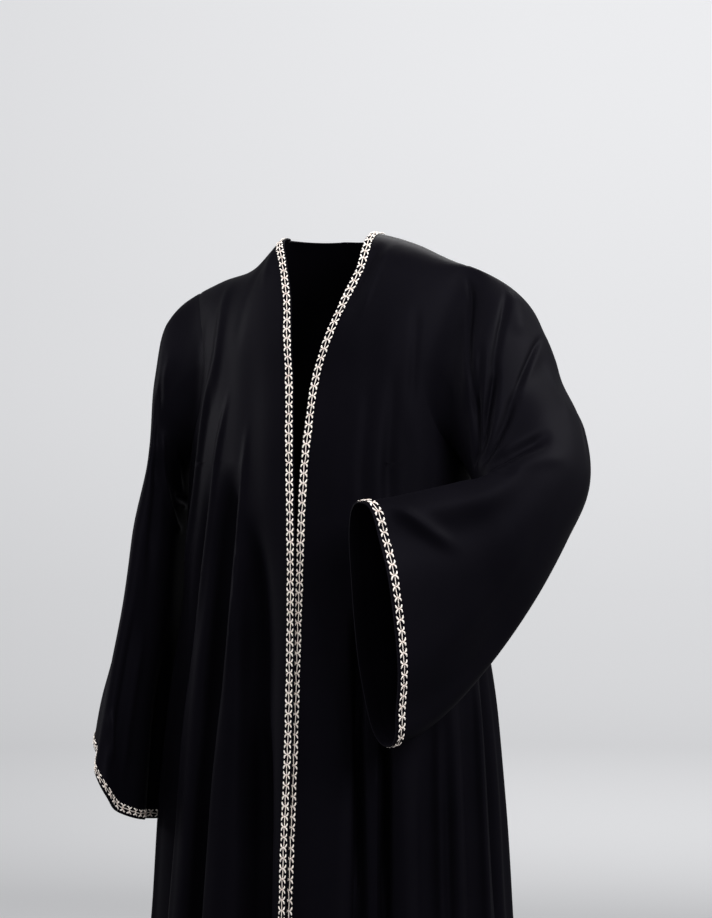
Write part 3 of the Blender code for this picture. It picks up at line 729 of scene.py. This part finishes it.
def on_sleeve(grid, along):
    """A function that gives the points of a sleeve's grid at turns and alongs."""
    columns = grid.shape[1]

    def place(turn, share):
        row = np.interp(share, along, np.arange(len(along)))
        col = np.asarray(turn) / 360.0 * columns % columns
        low_row = np.minimum(row.astype(int), len(along) - 2)
        low_col = col.astype(int) % columns
        down = (row - low_row)[:, None]
        around = (col - col.astype(int))[:, None]
        next_col = (low_col + 1) % columns
        upper = grid[low_row, low_col] * (1 - around) + grid[low_row, next_col] * around
        lower = grid[low_row + 1, low_col] * (1 - around) + grid[low_row + 1, next_col] * around
        return upper * (1 - down) + lower * down

    return place


def armhole_of(side, front, back):
    """The armhole's points, from the shoulder tip down the front and up the back."""
    down_front = front[:-ARMHOLE_ROWS - 2:-1, -1]
    up_back = back[-ARMHOLE_ROWS:-1, 0 if side > 0 else -1]
    return np.concatenate([down_front, up_back])


def set_in(grid, front, back, side, setting):
    """Let a sleeve go on in the panels' direction before it takes its own."""
    inside = armhole_of(side, front[:, :-LEAD_COLUMNS], back[:, LEAD_COLUMNS:-LEAD_COLUMNS])
    lead = unit(grid[0] - inside)
    height = np.abs(np.arange(len(lead)) - ARMHOLE_ROWS) / ARMHOLE_ROWS
    strength = setting.strength * ease((height - SET_IN_START) / SET_IN_FADE)
    start, end = grid[0], grid[setting.rows]
    leave = unit(grid[setting.rows + 2] - grid[setting.rows - 2])
    chord = np.linalg.norm(end - start, axis=1, keepdims=True)
    share = np.linspace(0.0, 1.0, setting.rows + 1)[:, None, None]
    curve = hermite(share, start, lead * chord * setting.pull, end, leave * chord)
    grid[:setting.rows + 1] += (curve - grid[:setting.rows + 1]) * strength[None, :, None]
    return grid


def turns_of(grid):
    """The turn of each column of a sleeve, as one row."""
    return np.arange(grid.shape[1])[None] * 360.0 / grid.shape[1]


def bare_sleeve(sleeve, front, back):
    """Points of a sleeve before its creases, rows from the armhole to the cuff, and alongs."""
    grid, along = sleeve_rows(armhole_of(sleeve.side, front, back), sleeve.rings)
    grid = set_in(grid, front, back, sleeve.side, sleeve.set_in)
    normals = sleeve.side * grid_normals(grid, closed=True)
    out = sleeve_fold(sleeve.folds, turns_of(grid), along[:, None])
    return grid + normals * out[..., None], along


def finish_sleeve(side, grid, along, paths, armhole):
    """Add the creases and waves to a sleeve, and start it at the finished armhole."""
    normals = side * grid_normals(grid, closed=True)
    depth = crease_depth(grid.reshape(-1, 3), paths).reshape(grid.shape[:2])
    waves = wave_depth(turns_of(grid) / 360.0, along[:, None], SLEEVE_WAVES)
    depth += waves * ease(along / SLEEVE_WAVES_FADE)[:, None]
    finished = grid + normals * depth[..., None]
    finished[0] = armhole
    return finished


# ---- meshes -------------------------------------------------------------------------------

SHARP_ANGLE = math.radians(55.0)


def mesh_object(name, vertices, faces, material):
    """A smooth-shaded mesh object whose faces point out."""
    mesh = bpy.data.meshes.new(name)
    mesh.from_pydata(vertices.tolist(), [], faces.tolist())
    mesh.materials.append(material)
    mesh.shade_smooth()
    mesh.set_sharp_from_angle(angle=SHARP_ANGLE)
    piece = bpy.data.objects.new(name, mesh)
    bpy.context.scene.collection.objects.link(piece)
    return piece


def quads(first, second, third, fourth):
    """An array of four-sided faces from four arrays of corners."""
    return np.stack([first.ravel(), second.ravel(), third.ravel(), fourth.ravel()], axis=1)


def shell(name, outer, inner, closed, material):
    """A closed wall between two grids of points, with a rim along every border."""
    rows, columns = outer.shape[:2]
    index = np.arange(rows * columns).reshape(rows, columns)
    if closed:
        index = np.concatenate([index, index[:, :1]], axis=1)
    low, low_next = index[:-1, :-1], index[:-1, 1:]
    high, high_next = index[1:, :-1], index[1:, 1:]
    count = rows * columns
    faces = [quads(low, low_next, high_next, high),
             quads(high + count, high_next + count, low_next + count, low + count),
             quads(low_next[0], low[0], low[0] + count, low_next[0] + count),
             quads(high[-1], high_next[-1], high_next[-1] + count, high[-1] + count)]
    if not closed:
        faces += [quads(low[:, 0], high[:, 0], high[:, 0] + count, low[:, 0] + count),
                  quads(high_next[:, -1], low_next[:, -1], low_next[:, -1] + count,
                        high_next[:, -1] + count)]
    faces = np.concatenate(faces)
    vertices = np.concatenate([outer.reshape(-1, 3), inner.reshape(-1, 3)])
    first, second, third, fourth = (vertices[faces[:, corner]] for corner in range(4))
    volume = np.sum(np.cross(third - first, fourth - second) * (first + third))
    if volume < 0.0:
        faces = faces[:, ::-1]
    return mesh_object(name, vertices, faces, material)


def distance_from(grid, border, axis):
    """How far each point of a grid is from its first (0) or last (-1) row or column."""
    order = slice(None, None, -1 if border else 1)
    grid = np.swapaxes(grid, 0, axis)[order]
    steps = np.linalg.norm(np.diff(grid, axis=0), axis=-1)
    distance = np.concatenate([np.zeros((1, grid.shape[1])), np.cumsum(steps, axis=0)])
    return np.swapaxes(distance[order], 0, axis)


def cloth_shell(name, grid, normals, closed, hems, material):
    """The wall of a piece of cloth, thicker inside where its hems are turned."""
    hem = np.zeros(grid.shape[:2], bool)
    for border, axis in hems:
        hem |= distance_from(grid, border, axis) < HEM_WIDTH
    thickness = CLOTH + HEM_EXTRA * hem
    return shell(name, grid, grid - normals * thickness[..., None], closed, material)


# ---- braid --------------------------------------------------------------------------------

# One motif of the chain, in millimetres: across, along and up from the cloth.  Four curved
# leaves spread from a knot, and a thin stem runs on to the next knot.
PETAL_START = (0.25, 0.35)
PETAL_BEND = (4.2, 0.75)
PETAL_TIP = (4.35, 5.1)
PETAL_HALF_WIDTH = 1.12
PETAL_HALF_HEIGHT = 0.62
PETAL_HEIGHT = 0.85             # of its middle line, at the knot and the tip
PETAL_ARCH = 0.42               # how much higher that line is between them
PETAL_STATIONS = 7
SWELL_START = 0.06              # a leaf's width follows a half wave from this share of it
SWELL_SPAN = 0.86               # over this share
SWELL_LATE = 1.25               # fullest toward the tip
SWELL_BLUNT = 0.7               # and blunt at its ends
ARCH_EARLY = 0.9                # power that puts the arch's top toward the knot
TUBE_SIDES = 8
STEM_HALF_WIDTH = 0.55
STEM_HALF_HEIGHT = 0.42
STEM_HEIGHT = 0.75
STEM_ENDS = (0.5, 1.5)          # from the knots' middles to its ends and to its full width
STEM_SWELL = (0.25, 1.0, 1.0, 0.25)
KNOT_HALF_WIDTH = 1.0
KNOT_HALF_HEIGHT = 0.75
KNOT_HEIGHT = 1.15
KNOT_STATIONS = (-1.2, -0.8, 0.0, 0.8, 1.2)
KNOT_SWELL = (0.2, 0.8, 1.0, 0.8, 0.2)
FRONT_PITCH = (13.9, 12.2)      # spacing of the knots at the hem and at the neck
PLAIN_PITCH = (13.6, 13.6)
MOTIF_UNEVEN = 0.05             # share by which the motifs differ in size
MOTIF_LEAN = 0.07               # and by which they lean
UNEVEN_BEAT = 5.1               # radians from one motif to the next in that unevenness
LEAN_BEAT = 2.4
NAPE_STATIONS = 61              # points of the braid's path round the neck


def tube(path, half_widths, half_heights):
    """Points, faces and thread coordinates of a flattened tube along a path in a motif."""
    direction = unit(np.gradient(path[:, :2], axis=0))
    sideways = np.stack([-direction[:, 1], direction[:, 0]], axis=1)
    angles = 2.0 * math.pi * np.arange(TUBE_SIDES) / TUBE_SIDES
    points = np.repeat(path[:, None], TUBE_SIDES, axis=1)
    points[..., :2] += sideways[:, None] * np.outer(half_widths, np.cos(angles))[..., None]
    points[..., 2] += np.outer(half_heights, np.sin(angles))
    spans = len(path) - 1
    station, side = (grid.ravel() for grid in np.mgrid[:spans, :TUBE_SIDES])
    corners = ((0, 0), (0, 1), (1, 1), (1, 0))
    faces = [(station + on) * TUBE_SIDES + (side + after) % TUBE_SIDES for on, after in corners]
    threads = [np.stack([(station + on) / spans, (side + after) / TUBE_SIDES], axis=1)
               for on, after in corners]
    return points.reshape(-1, 3), np.stack(faces, axis=1), np.stack(threads, axis=1)


def motif(pitch):
    """One motif's points, faces and thread coordinates."""
    share = np.linspace(0.0, 1.0, PETAL_STATIONS)
    wave = math.pi * (SWELL_START + SWELL_SPAN * share ** SWELL_LATE)
    swell = np.sin(wave) ** SWELL_BLUNT
    height = PETAL_HEIGHT + PETAL_ARCH * np.sin(math.pi * share ** ARCH_EARLY)
    parts = []
    for side in ((-1.0, -1.0), (-1.0, 1.0), (1.0, -1.0), (1.0, 1.0)):
        start, bend, tip = (np.array(place) * side for place in (PETAL_START, PETAL_BEND, PETAL_TIP))
        flat = (np.outer((1 - share) ** 2, start) + np.outer(2 * share * (1 - share), bend)
                + np.outer(share ** 2, tip))
        parts.append(tube(np.column_stack([flat, height]), PETAL_HALF_WIDTH * swell,
                          PETAL_HALF_HEIGHT * swell))
    along = (STEM_ENDS[0], STEM_ENDS[1], pitch - STEM_ENDS[1], pitch - STEM_ENDS[0])
    for stations, swell, middle, half_width, half_height in (
            (along, STEM_SWELL, STEM_HEIGHT, STEM_HALF_WIDTH, STEM_HALF_HEIGHT),
            (KNOT_STATIONS, KNOT_SWELL, KNOT_HEIGHT, KNOT_HALF_WIDTH, KNOT_HALF_HEIGHT)):
        level = np.ones(len(stations))
        line = np.column_stack([0.0 * level, stations, middle * level])
        parts.append(tube(line, half_width * np.array(swell), half_height * np.array(swell)))
    points, faces, threads = zip(*parts)
    firsts = np.cumsum([0] + [len(part) for part in points[:-1]])
    faces = [part + first for part, first in zip(faces, firsts)]
    return np.concatenate(points), np.concatenate(faces), np.concatenate(threads)


def braid(name, middle, across, up, lift, pitches, material, closed=False):
    """Motifs along a path on the cloth, each point of them laid on the path's own frame."""
    if closed:
        middle, across, up = (np.concatenate([a, a[:1]]) for a in (middle, across, up))
    travelled = np.concatenate([[0.0], np.cumsum(np.linalg.norm(np.diff(middle, axis=0), axis=1))])
    length = travelled[-1] / MM
    count = int(round(length / (sum(pitches) / 2.0)))
    steps = np.linspace(pitches[0], pitches[1], count)
    steps *= length / steps.sum()
    starts = np.concatenate([[0.0], np.cumsum(steps)[:-1]]) + steps / 2.0
    points, faces, threads = motif(length / count)
    stretch = steps / (length / count)
    index = np.arange(count)[:, None]
    size = 1.0 + MOTIF_UNEVEN * np.sin(UNEVEN_BEAT * index + 1.0)
    lean = MOTIF_LEAN * np.sin(LEAN_BEAT * index)
    along = (starts[:, None] + points[None, :, 1] * stretch[:, None] * size) * MM
    if closed:
        along = along % travelled[-1]
    else:
        along = np.clip(along, 0.0, travelled[-1])

    def read(values):
        """The path's values at every point of the motifs."""
        return np.stack([np.interp(along, travelled, values[:, axis]) for axis in range(3)], axis=-1)

    sideways = unit(read(across)) * ((points[:, 0] * size + points[:, 1] * lean) * MM)[..., None]
    raised = unit(read(up)) * (points[None, :, 2:] * MM + lift)
    vertices = (read(middle) + sideways + raised).reshape(-1, 3)
    shift = np.arange(count)[:, None, None] * len(points)
    all_faces = (faces[None] + shift).reshape(-1, 4)
    if np.sum(np.cross(across[1], middle[2] - middle[0]) * up[1]) < 0.0:
        all_faces = all_faces[:, ::-1]
        threads = threads[:, ::-1]
    piece = mesh_object(name, vertices, all_faces, material)
    layer = piece.data.uv_layers.new(name="thread")
    layer.data.foreach_set("uv", np.tile(threads.reshape(-1), count).astype(np.float32))
    return piece


def edge_path(grid, normals):
    """The braid's path along a front's free edge: its middle, across and up."""
    place = BRAID_MIDDLE / EDGE_STRIP * EDGE_COUNT
    before = int(place)
    middle = grid[:, before] + (grid[:, before + 1] - grid[:, before]) * (place - before)
    return middle, unit(grid[:, EDGE_COUNT] - grid[:, 0]), normals[:, EDGE_COUNT // 2]


def cuff_path(grid, normals):
    """The braid's path round a cuff."""
    distance = distance_from(grid, -1, 0)
    wanted = BRAID_INSET + BRAID_WIDTH / 2
    row = np.argmin(np.abs(distance - wanted), axis=0)
    columns = np.arange(grid.shape[1])
    inward = unit(grid[row, columns] - grid[-1])
    return grid[-1] + inward * wanted, inward, normals[row, columns]


def nape_path():
    """The braid's path round the back of the neck, on the body form."""
    turns = np.radians(np.linspace(0.0, 180.0, NAPE_STATIONS))
    rails = []
    for distance in (0.0, BRAID_MIDDLE, 2.0 * BRAID_MIDDLE):
        x = (NECK_HALF + distance) * np.cos(turns)
        y = (NAPE_DEPTH + distance) * np.sin(turns)
        rails.append(np.stack([x, y, shoulder_height(x, y)], axis=1))
    across = unit(rails[2] - rails[0])
    up = unit(np.cross(across, np.gradient(rails[1], axis=0)))
    return rails[1], across, up * np.sign(up[:, 2:])


def shoulder_height(x, y):
    """Height of the back's form over points near the neck."""
    z = back_top(x)
    for _ in range(SETTLE_ROUNDS):
        cosine = np.sqrt(1.0 - (x / column(BODY, "half_width", z)) ** 2)
        depth = cosine * column(BODY, "back_depth", z)
        climb = (1.0 - (np.abs(y) / depth) ** SHOULDER_POWER) ** (1.0 / SHOULDER_POWER)
        z = CHEST_Z + (back_top(x) - CHEST_Z) * climb
    return z


# ---- materials ----------------------------------------------------------------------------


def new_material(name):
    """A material, its node tree and its shader."""
    material = bpy.data.materials.new(name)
    material.use_nodes = True
    tree = material.node_tree
    return material, tree, tree.nodes["Principled BSDF"]


def settle(made, **settings):
    """A node or shader with its inputs set by name."""
    for name, value in settings.items():
        made.inputs[name.replace("_", " ")].default_value = value
    return made


def node(tree, kind, **settings):
    """A new node with its inputs set by name."""
    return settle(tree.nodes.new(kind), **settings)


def ramp(tree, low, low_colour, high, high_colour):
    """A colour ramp between two colours."""
    made = tree.nodes.new("ShaderNodeValToRGB")
    for element, position, colour in zip(made.color_ramp.elements, (low, high),
                                         (low_colour, high_colour)):
        element.position = position
        element.color = (*colour, 1.0)
    return made


def add_share(tree, value, share, rest):
    """The output of a node that adds a share of one value to another."""
    made = tree.nodes.new("ShaderNodeMath")
    made.operation = "MULTIPLY_ADD"
    made.inputs[1].default_value = share
    tree.links.new(value, made.inputs[0])
    tree.links.new(rest, made.inputs[2])
    return made.outputs["Value"]


def crepe():
    """Black crepe: fine pebbled grain, a soft sheen and slight unevenness."""
    material, tree, shader = new_material("black_crepe")
    link = tree.links.new
    place = tree.nodes.new("ShaderNodeTexCoord").outputs["Object"]
    settle(shader, Specular_IOR_Level=0.022, Specular_Tint=(0.80, 0.77, 1.0, 1.0),
           Sheen_Weight=0.003, Sheen_Roughness=0.35, Sheen_Tint=(0.66, 0.62, 0.80, 1.0))

    cloud = node(tree, "ShaderNodeTexNoise", Scale=7.0, Detail=3.0, Roughness=0.6)
    link(place, cloud.inputs["Vector"])
    shade = ramp(tree, 0.35, (0.0022, 0.0020, 0.0031), 0.68, (0.0028, 0.0025, 0.0039))
    link(cloud.outputs["Fac"], shade.inputs["Fac"])
    link(shade.outputs["Color"], shader.inputs["Base Color"])
    gloss = node(tree, "ShaderNodeMapRange", To_Min=0.50, To_Max=0.56)
    link(cloud.outputs["Fac"], gloss.inputs["Value"])
    link(gloss.outputs["Result"], shader.inputs["Roughness"])

    grain = node(tree, "ShaderNodeTexVoronoi", Scale=1500.0)
    link(place, grain.inputs["Vector"])
    slub = node(tree, "ShaderNodeTexNoise", Scale=160.0, Detail=2.0)
    link(place, slub.inputs["Vector"])
    fine = node(tree, "ShaderNodeBump", Strength=0.12, Distance=0.0003)
    link(grain.outputs["Distance"], fine.inputs["Height"])
    coarse = node(tree, "ShaderNodeBump", Strength=0.05, Distance=0.0012)
    link(slub.outputs["Fac"], coarse.inputs["Height"])
    link(fine.outputs["Normal"], coarse.inputs["Normal"])
    link(coarse.outputs["Normal"], shader.inputs["Normal"])
    return material


def chain():
    """Glossy cream thread with the twist of its strands, painted rose brown toward the knots as
    painted shade.
    """
    material, tree, shader = new_material("cream_braid")
    link = tree.links.new
    place = tree.nodes.new("ShaderNodeTexCoord").outputs["Object"]
    thread = tree.nodes.new("ShaderNodeUVMap")
    thread.uv_map = "thread"
    settle(shader, Specular_IOR_Level=0.6, Sheen_Weight=0.2, Sheen_Tint=(1.0, 0.85, 0.75, 1.0),
           Roughness=0.36)

    scale = node(tree, "ShaderNodeMapping", Scale=(5.0, 1.0, 1.0))
    link(thread.outputs["UV"], scale.inputs["Vector"])
    twist = node(tree, "ShaderNodeTexWave", Scale=1.0)
    twist.bands_direction = "DIAGONAL"
    link(scale.outputs["Vector"], twist.inputs["Vector"])
    patch = node(tree, "ShaderNodeTexNoise", Scale=420.0, Detail=2.0)
    link(place, patch.inputs["Vector"])
    parts = tree.nodes.new("ShaderNodeSeparateXYZ")
    link(thread.outputs["UV"], parts.inputs["Vector"])
    twisted = add_share(tree, twist.outputs["Fac"], 0.35, patch.outputs["Fac"])
    # Painted shade: the colour darkens to rose brown toward the start of each tube, where the leaves
    # meet at the knot, and lightens to cream toward the leaves' tips. The twist of the strands and
    # random patches vary its tone too.
    shade = ramp(tree, 0.45, (0.36, 0.19, 0.14), 0.90, (0.95, 0.88, 0.81))
    link(add_share(tree, parts.outputs["X"], 0.45, twisted), shade.inputs["Fac"])
    link(shade.outputs["Color"], shader.inputs["Base Color"])
    bump = node(tree, "ShaderNodeBump", Strength=0.6, Distance=0.0003)
    link(twist.outputs["Fac"], bump.inputs["Height"])
    link(bump.outputs["Normal"], shader.inputs["Normal"])
    return material


# ---- stage, camera and light --------------------------------------------------------------

CAMERA_AZIMUTH = math.radians(20.0)
CAMERA_DISTANCE = 3.4
CAMERA_ASIDE = 0.033      # how far the picture's middle is to the wearer's left of the neck
CAMERA_Z = -0.295
CAMERA_LENS = 100.0
FLOOR_Z = HEM_Z - 0.05
STAGE_RADIUS = 7.5        # flat part of the floor, which then curves up all round
STAGE_CURVE = 2.0
FLOOR_RINGS = (0.6, 1.4, 2.2, 3.0, 4.0, 5.5)      # radii
WALL_RINGS = (2.6, 3.4, 4.4, 5.5)                 # heights
CURVE_RINGS = 9
STAGE_SIDES = 64
STAGE_GLOW = 0.27         # light of the stage's own, which evens it out
STAGE_TINT = (0.985, 0.988, 1.0)
STAGE_PAINTED_LIGHT_SIDE = math.radians(60.0)      # direction of its painted lighter side, from +X
# share by which the paint is lighter on that side: painted light
STAGE_PAINTED_LIGHT_GAIN = 0.12
STAGE_DIM = 0.42          # painted shade: how much darker its paint is under the garment, where the lights meet and pool
STAGE_DIM_REACH = 3.6

# Painted light: the stage's paint grows lighter with height, as the backdrop's light does.
STAGE_SHADES = table(
    "height shade",
    (0.0, 0.72),
    (0.5, 0.72),
    (1.5, 0.78),
    (3.0, 0.80),
    (5.5, 0.82),
)


def stage_material():
    """Matt pale paint that takes its shade from the stage's colours, which are painted light and
    shade, and glows with them as painted light of its own.
    """
    material, tree, shader = new_material("pale_stage")
    shade = tree.nodes.new("ShaderNodeVertexColor")
    shade.layer_name = "shade"
    tree.links.new(shade.outputs["Color"], shader.inputs["Base Color"])
    tree.links.new(shade.outputs["Color"], shader.inputs["Emission Color"])
    settle(shader, Emission_Strength=STAGE_GLOW, Roughness=0.9, Specular_IOR_Level=0.1)
    return material


def add_stage():
    """A pale floor that curves up into a round backdrop, its paint lighter above and to one side and
    darker under the garment, as painted light and shade.
    """
    wall = STAGE_RADIUS + STAGE_CURVE
    profile = [(radius, 0.0) for radius in FLOOR_RINGS]
    profile += [(STAGE_RADIUS + STAGE_CURVE * math.sin(turn), STAGE_CURVE * (1 - math.cos(turn)))
                for turn in np.linspace(0.0, math.pi / 2, CURVE_RINGS)]
    profile += [(wall, height) for height in WALL_RINGS]
    vertices = [(0.0, 0.0, FLOOR_Z)]
    for radius, height in profile:
        for index in range(STAGE_SIDES):
            angle = 2.0 * math.pi * index / STAGE_SIDES
            vertices.append((radius * math.cos(angle), radius * math.sin(angle), FLOOR_Z + height))
    faces = [[0, 1 + index, 1 + (index + 1) % STAGE_SIDES] for index in range(STAGE_SIDES)]
    for low in range(1, 1 + (len(profile) - 1) * STAGE_SIDES, STAGE_SIDES):
        high = low + STAGE_SIDES
        for index in range(STAGE_SIDES):
            after = (index + 1) % STAGE_SIDES
            faces.append([low + index, high + index, high + after, low + after])
    mesh = bpy.data.meshes.new("stage")
    mesh.from_pydata(vertices, [], faces)
    places = np.array(vertices)
    height = places[:, 2] - FLOOR_Z
    # Painted light and shade: the paint is lighter higher up and toward one side, and darker near
    # the garment.
    shade = np.interp(height, [row.height for row in STAGE_SHADES],
                      [row.shade for row in STAGE_SHADES])
    painted_light_side = places[:, :2] @ (math.cos(STAGE_PAINTED_LIGHT_SIDE), math.sin(STAGE_PAINTED_LIGHT_SIDE))
    shade = shade * (1.0 + STAGE_PAINTED_LIGHT_GAIN * painted_light_side / wall)
    distance = np.linalg.norm(places[:, :2], axis=1)
    shade = shade * (1.0 - STAGE_DIM * (1.0 - ease(distance / STAGE_DIM_REACH)))
    colours = np.ones((len(vertices), 4))
    colours[:, :3] = shade[:, None] * np.array(STAGE_TINT)
    layer = mesh.color_attributes.new(name="shade", type="FLOAT_COLOR", domain="POINT")
    layer.data.foreach_set("color", colours.reshape(-1).astype(np.float32))
    mesh.materials.append(stage_material())
    mesh.shade_smooth()
    stage = bpy.data.objects.new("stage", mesh)
    stage.visible_diffuse = False
    stage.visible_glossy = False
    bpy.context.scene.collection.objects.link(stage)


def camera_directions():
    """Level directions from the garment toward the camera, and across its picture."""
    return (Vector((math.sin(CAMERA_AZIMUTH), -math.cos(CAMERA_AZIMUTH), 0.0)),
            Vector((math.cos(CAMERA_AZIMUTH), math.sin(CAMERA_AZIMUTH), 0.0)))


def add_camera():
    """The camera, level and a little to the wearer's left of straight ahead."""
    toward, across = camera_directions()
    data = bpy.data.cameras.new("camera")
    data.lens = CAMERA_LENS
    camera = bpy.data.objects.new("camera", data)
    camera.location = across * CAMERA_ASIDE + toward * CAMERA_DISTANCE
    camera.location.z = CAMERA_Z
    camera.rotation_euler = (-toward).to_track_quat("-Z", "Y").to_euler()
    bpy.context.scene.collection.objects.link(camera)
    bpy.context.scene.camera = camera


SOFTBOXES = table(
    "name azimuth elevation distance size spread power",
    ("side_left", 112.0, 32.0, 2.7, 1.2, 110.0, 23.0),
    ("side_right", -80.0, 14.0, 2.7, 1.2, 110.0, 20.0),
    ("key", -54.0, 34.0, 2.8, 1.0, 90.0, 6.0),
    ("front", 58.0, 24.0, 2.8, 1.2, 90.0, 17.0),
    ("fill", 2.0, 58.0, 2.6, 1.4, 90.0, 8.0),
    ("back", 185.0, 45.0, 3.6, 1.4, 110.0, 30.0),
)
LIGHT_AIM = Vector((0.0, 0.0, -0.22))
WASH_PLACE = (-3.0, 0.6, 2.2)       # toward the camera, to the wearer's left and up
WASH_AIM = (-9.5, 2.0, 1.6)
WASH_SIZE = 2.0
WASH_SPREAD = 160.0
WASH_POWER = 128.0
WORLD_COLOUR = (0.92, 0.93, 0.96, 1.0)
WORLD_STRENGTH = 0.34


def add_light(name, place, aim, size, spread, power):
    """A square soft light, which the camera itself doesn't see."""
    data = bpy.data.lights.new(name, "AREA")
    data.size = size
    data.spread = math.radians(spread)
    data.energy = power
    light = bpy.data.objects.new(name, data)
    light.visible_camera = False
    light.location = place
    light.rotation_euler = (aim - place).to_track_quat("-Z", "Y").to_euler()
    bpy.context.scene.collection.objects.link(light)


def add_lights():
    """Soft lights over the garment, washes over the backdrop and a pale world."""
    for box in SOFTBOXES:
        azimuth, elevation = math.radians(box.azimuth), math.radians(box.elevation)
        outward = Vector((math.sin(azimuth) * math.cos(elevation),
                          -math.cos(azimuth) * math.cos(elevation), math.sin(elevation)))
        add_light(box.name, LIGHT_AIM + outward * box.distance, LIGHT_AIM, box.size, box.spread,
                  box.power)
    toward, across = camera_directions()
    for name, side in (("wash_behind", 1.0), ("wash_before", -1.0)):
        place, aim = (toward * side * spot[0] + across * spot[1] + Vector((0.0, 0.0, spot[2]))
                      for spot in (WASH_PLACE, WASH_AIM))
        add_light(name, place, aim, WASH_SIZE, WASH_SPREAD, WASH_POWER)
    world = bpy.data.worlds.new("world")
    world.use_nodes = True
    settle(world.node_tree.nodes["Background"], Color=WORLD_COLOUR, Strength=WORLD_STRENGTH)
    bpy.context.scene.world = world
    bpy.context.scene.view_settings.view_transform = "Standard"


# ---- assembly -----------------------------------------------------------------------------

SLEEVES = table(
    "node side front rings folds set_in creases",
    ("sleeve_right", -1, "front_right", SLEEVE_RIGHT, RIGHT_SLEEVE_FOLDS, RIGHT_SET_IN,
     RIGHT_SLEEVE_CREASES),
    ("sleeve_left", 1, "front_left", SLEEVE_LEFT, LEFT_SLEEVE_FOLDS, LEFT_SET_IN,
     LEFT_SLEEVE_CREASES),
)

# Every piece of cloth: the sense of its grid, the front it is sewn to, whose creases reach it,
# the braid on it, the borders with a turned hem as (border, axis), and its flat cut.
FRONT_HEMS = ((0, 0), (0, 1))
CLOTHS = table(
    "node sign front creases trim hems width length area",
    ("front_right", -1, None, ("body", "sleeve_right"), "front_braid_right", FRONT_HEMS,
     0.50, 1.53, 0.54),
    ("front_left", 1, None, ("body", "sleeve_left"), "front_braid_left", FRONT_HEMS,
     0.46, 1.53, 0.48),
    ("back", 1, None, ("body", "sleeve_right", "sleeve_left"), "back_neck_braid", ((0, 0),),
     0.84, 1.48, 0.91),
    ("sleeve_right", -1, "front_right", ("body", "sleeve_right"), "cuff_braid_right", ((-1, 0),),
     0.64, 0.65, 0.26),
    ("sleeve_left", 1, "front_left", ("body", "sleeve_left"), "cuff_braid_left", ((-1, 0),),
     0.69, 0.80, 0.28),
)


def build():
    """Every piece of the garment, each standing for its solid."""
    black, cream = crepe(), chain()
    bare = {"front_right": front_panel(-1), "front_left": front_panel(1), "back": back_panel()}
    paths = {"body": crease_paths(BODY_CREASES, on_body)}
    for sleeve in SLEEVES:
        bare[sleeve.node] = bare_sleeve(sleeve, bare[sleeve.front][0], bare["back"][0])
        paths[sleeve.node] = crease_paths(sleeve.creases, on_sleeve(*bare[sleeve.node]))
    grids, normals, pieces = {}, {}, {}
    for cloth in CLOTHS:
        name, is_sleeve = cloth.node, cloth.front is not None
        near = sum((paths[part] for part in cloth.creases), [])
        if is_sleeve:
            armhole = armhole_of(cloth.sign, grids[cloth.front], grids["back"])
            grids[name] = finish_sleeve(cloth.sign, *bare[name], near, armhole)
        else:
            grids[name] = finish_panel(name, cloth.sign, *bare[name], near)
        normals[name] = cloth.sign * grid_normals(grids[name], closed=is_sleeve)
        pieces[name] = cloth_shell("cloth_" + name, grids[name], normals[name], is_sleeve,
                                   cloth.hems, black)
    for side in ("right", "left"):
        for kind, cloth, path, pitch in (("front", "front_", edge_path, FRONT_PITCH),
                                         ("cuff", "sleeve_", cuff_path, PLAIN_PITCH)):
            way = path(grids[cloth + side], normals[cloth + side])
            pieces[kind + "_braid_" + side] = braid("chain_" + kind + "_" + side, *way, BRAID_LIFT,
                                                    pitch, cream, closed=kind == "cuff")
    pieces["back_neck_braid"] = braid("chain_back_neck", *nape_path(), NAPE_LIFT,
                                      PLAIN_PITCH, cream)
    for name, piece in pieces.items():
        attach(piece, "root")
        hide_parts(name)
        "cream_braid" if "braid" in name else "black_crepe"


build()
add_stage()
add_camera()
add_lights()
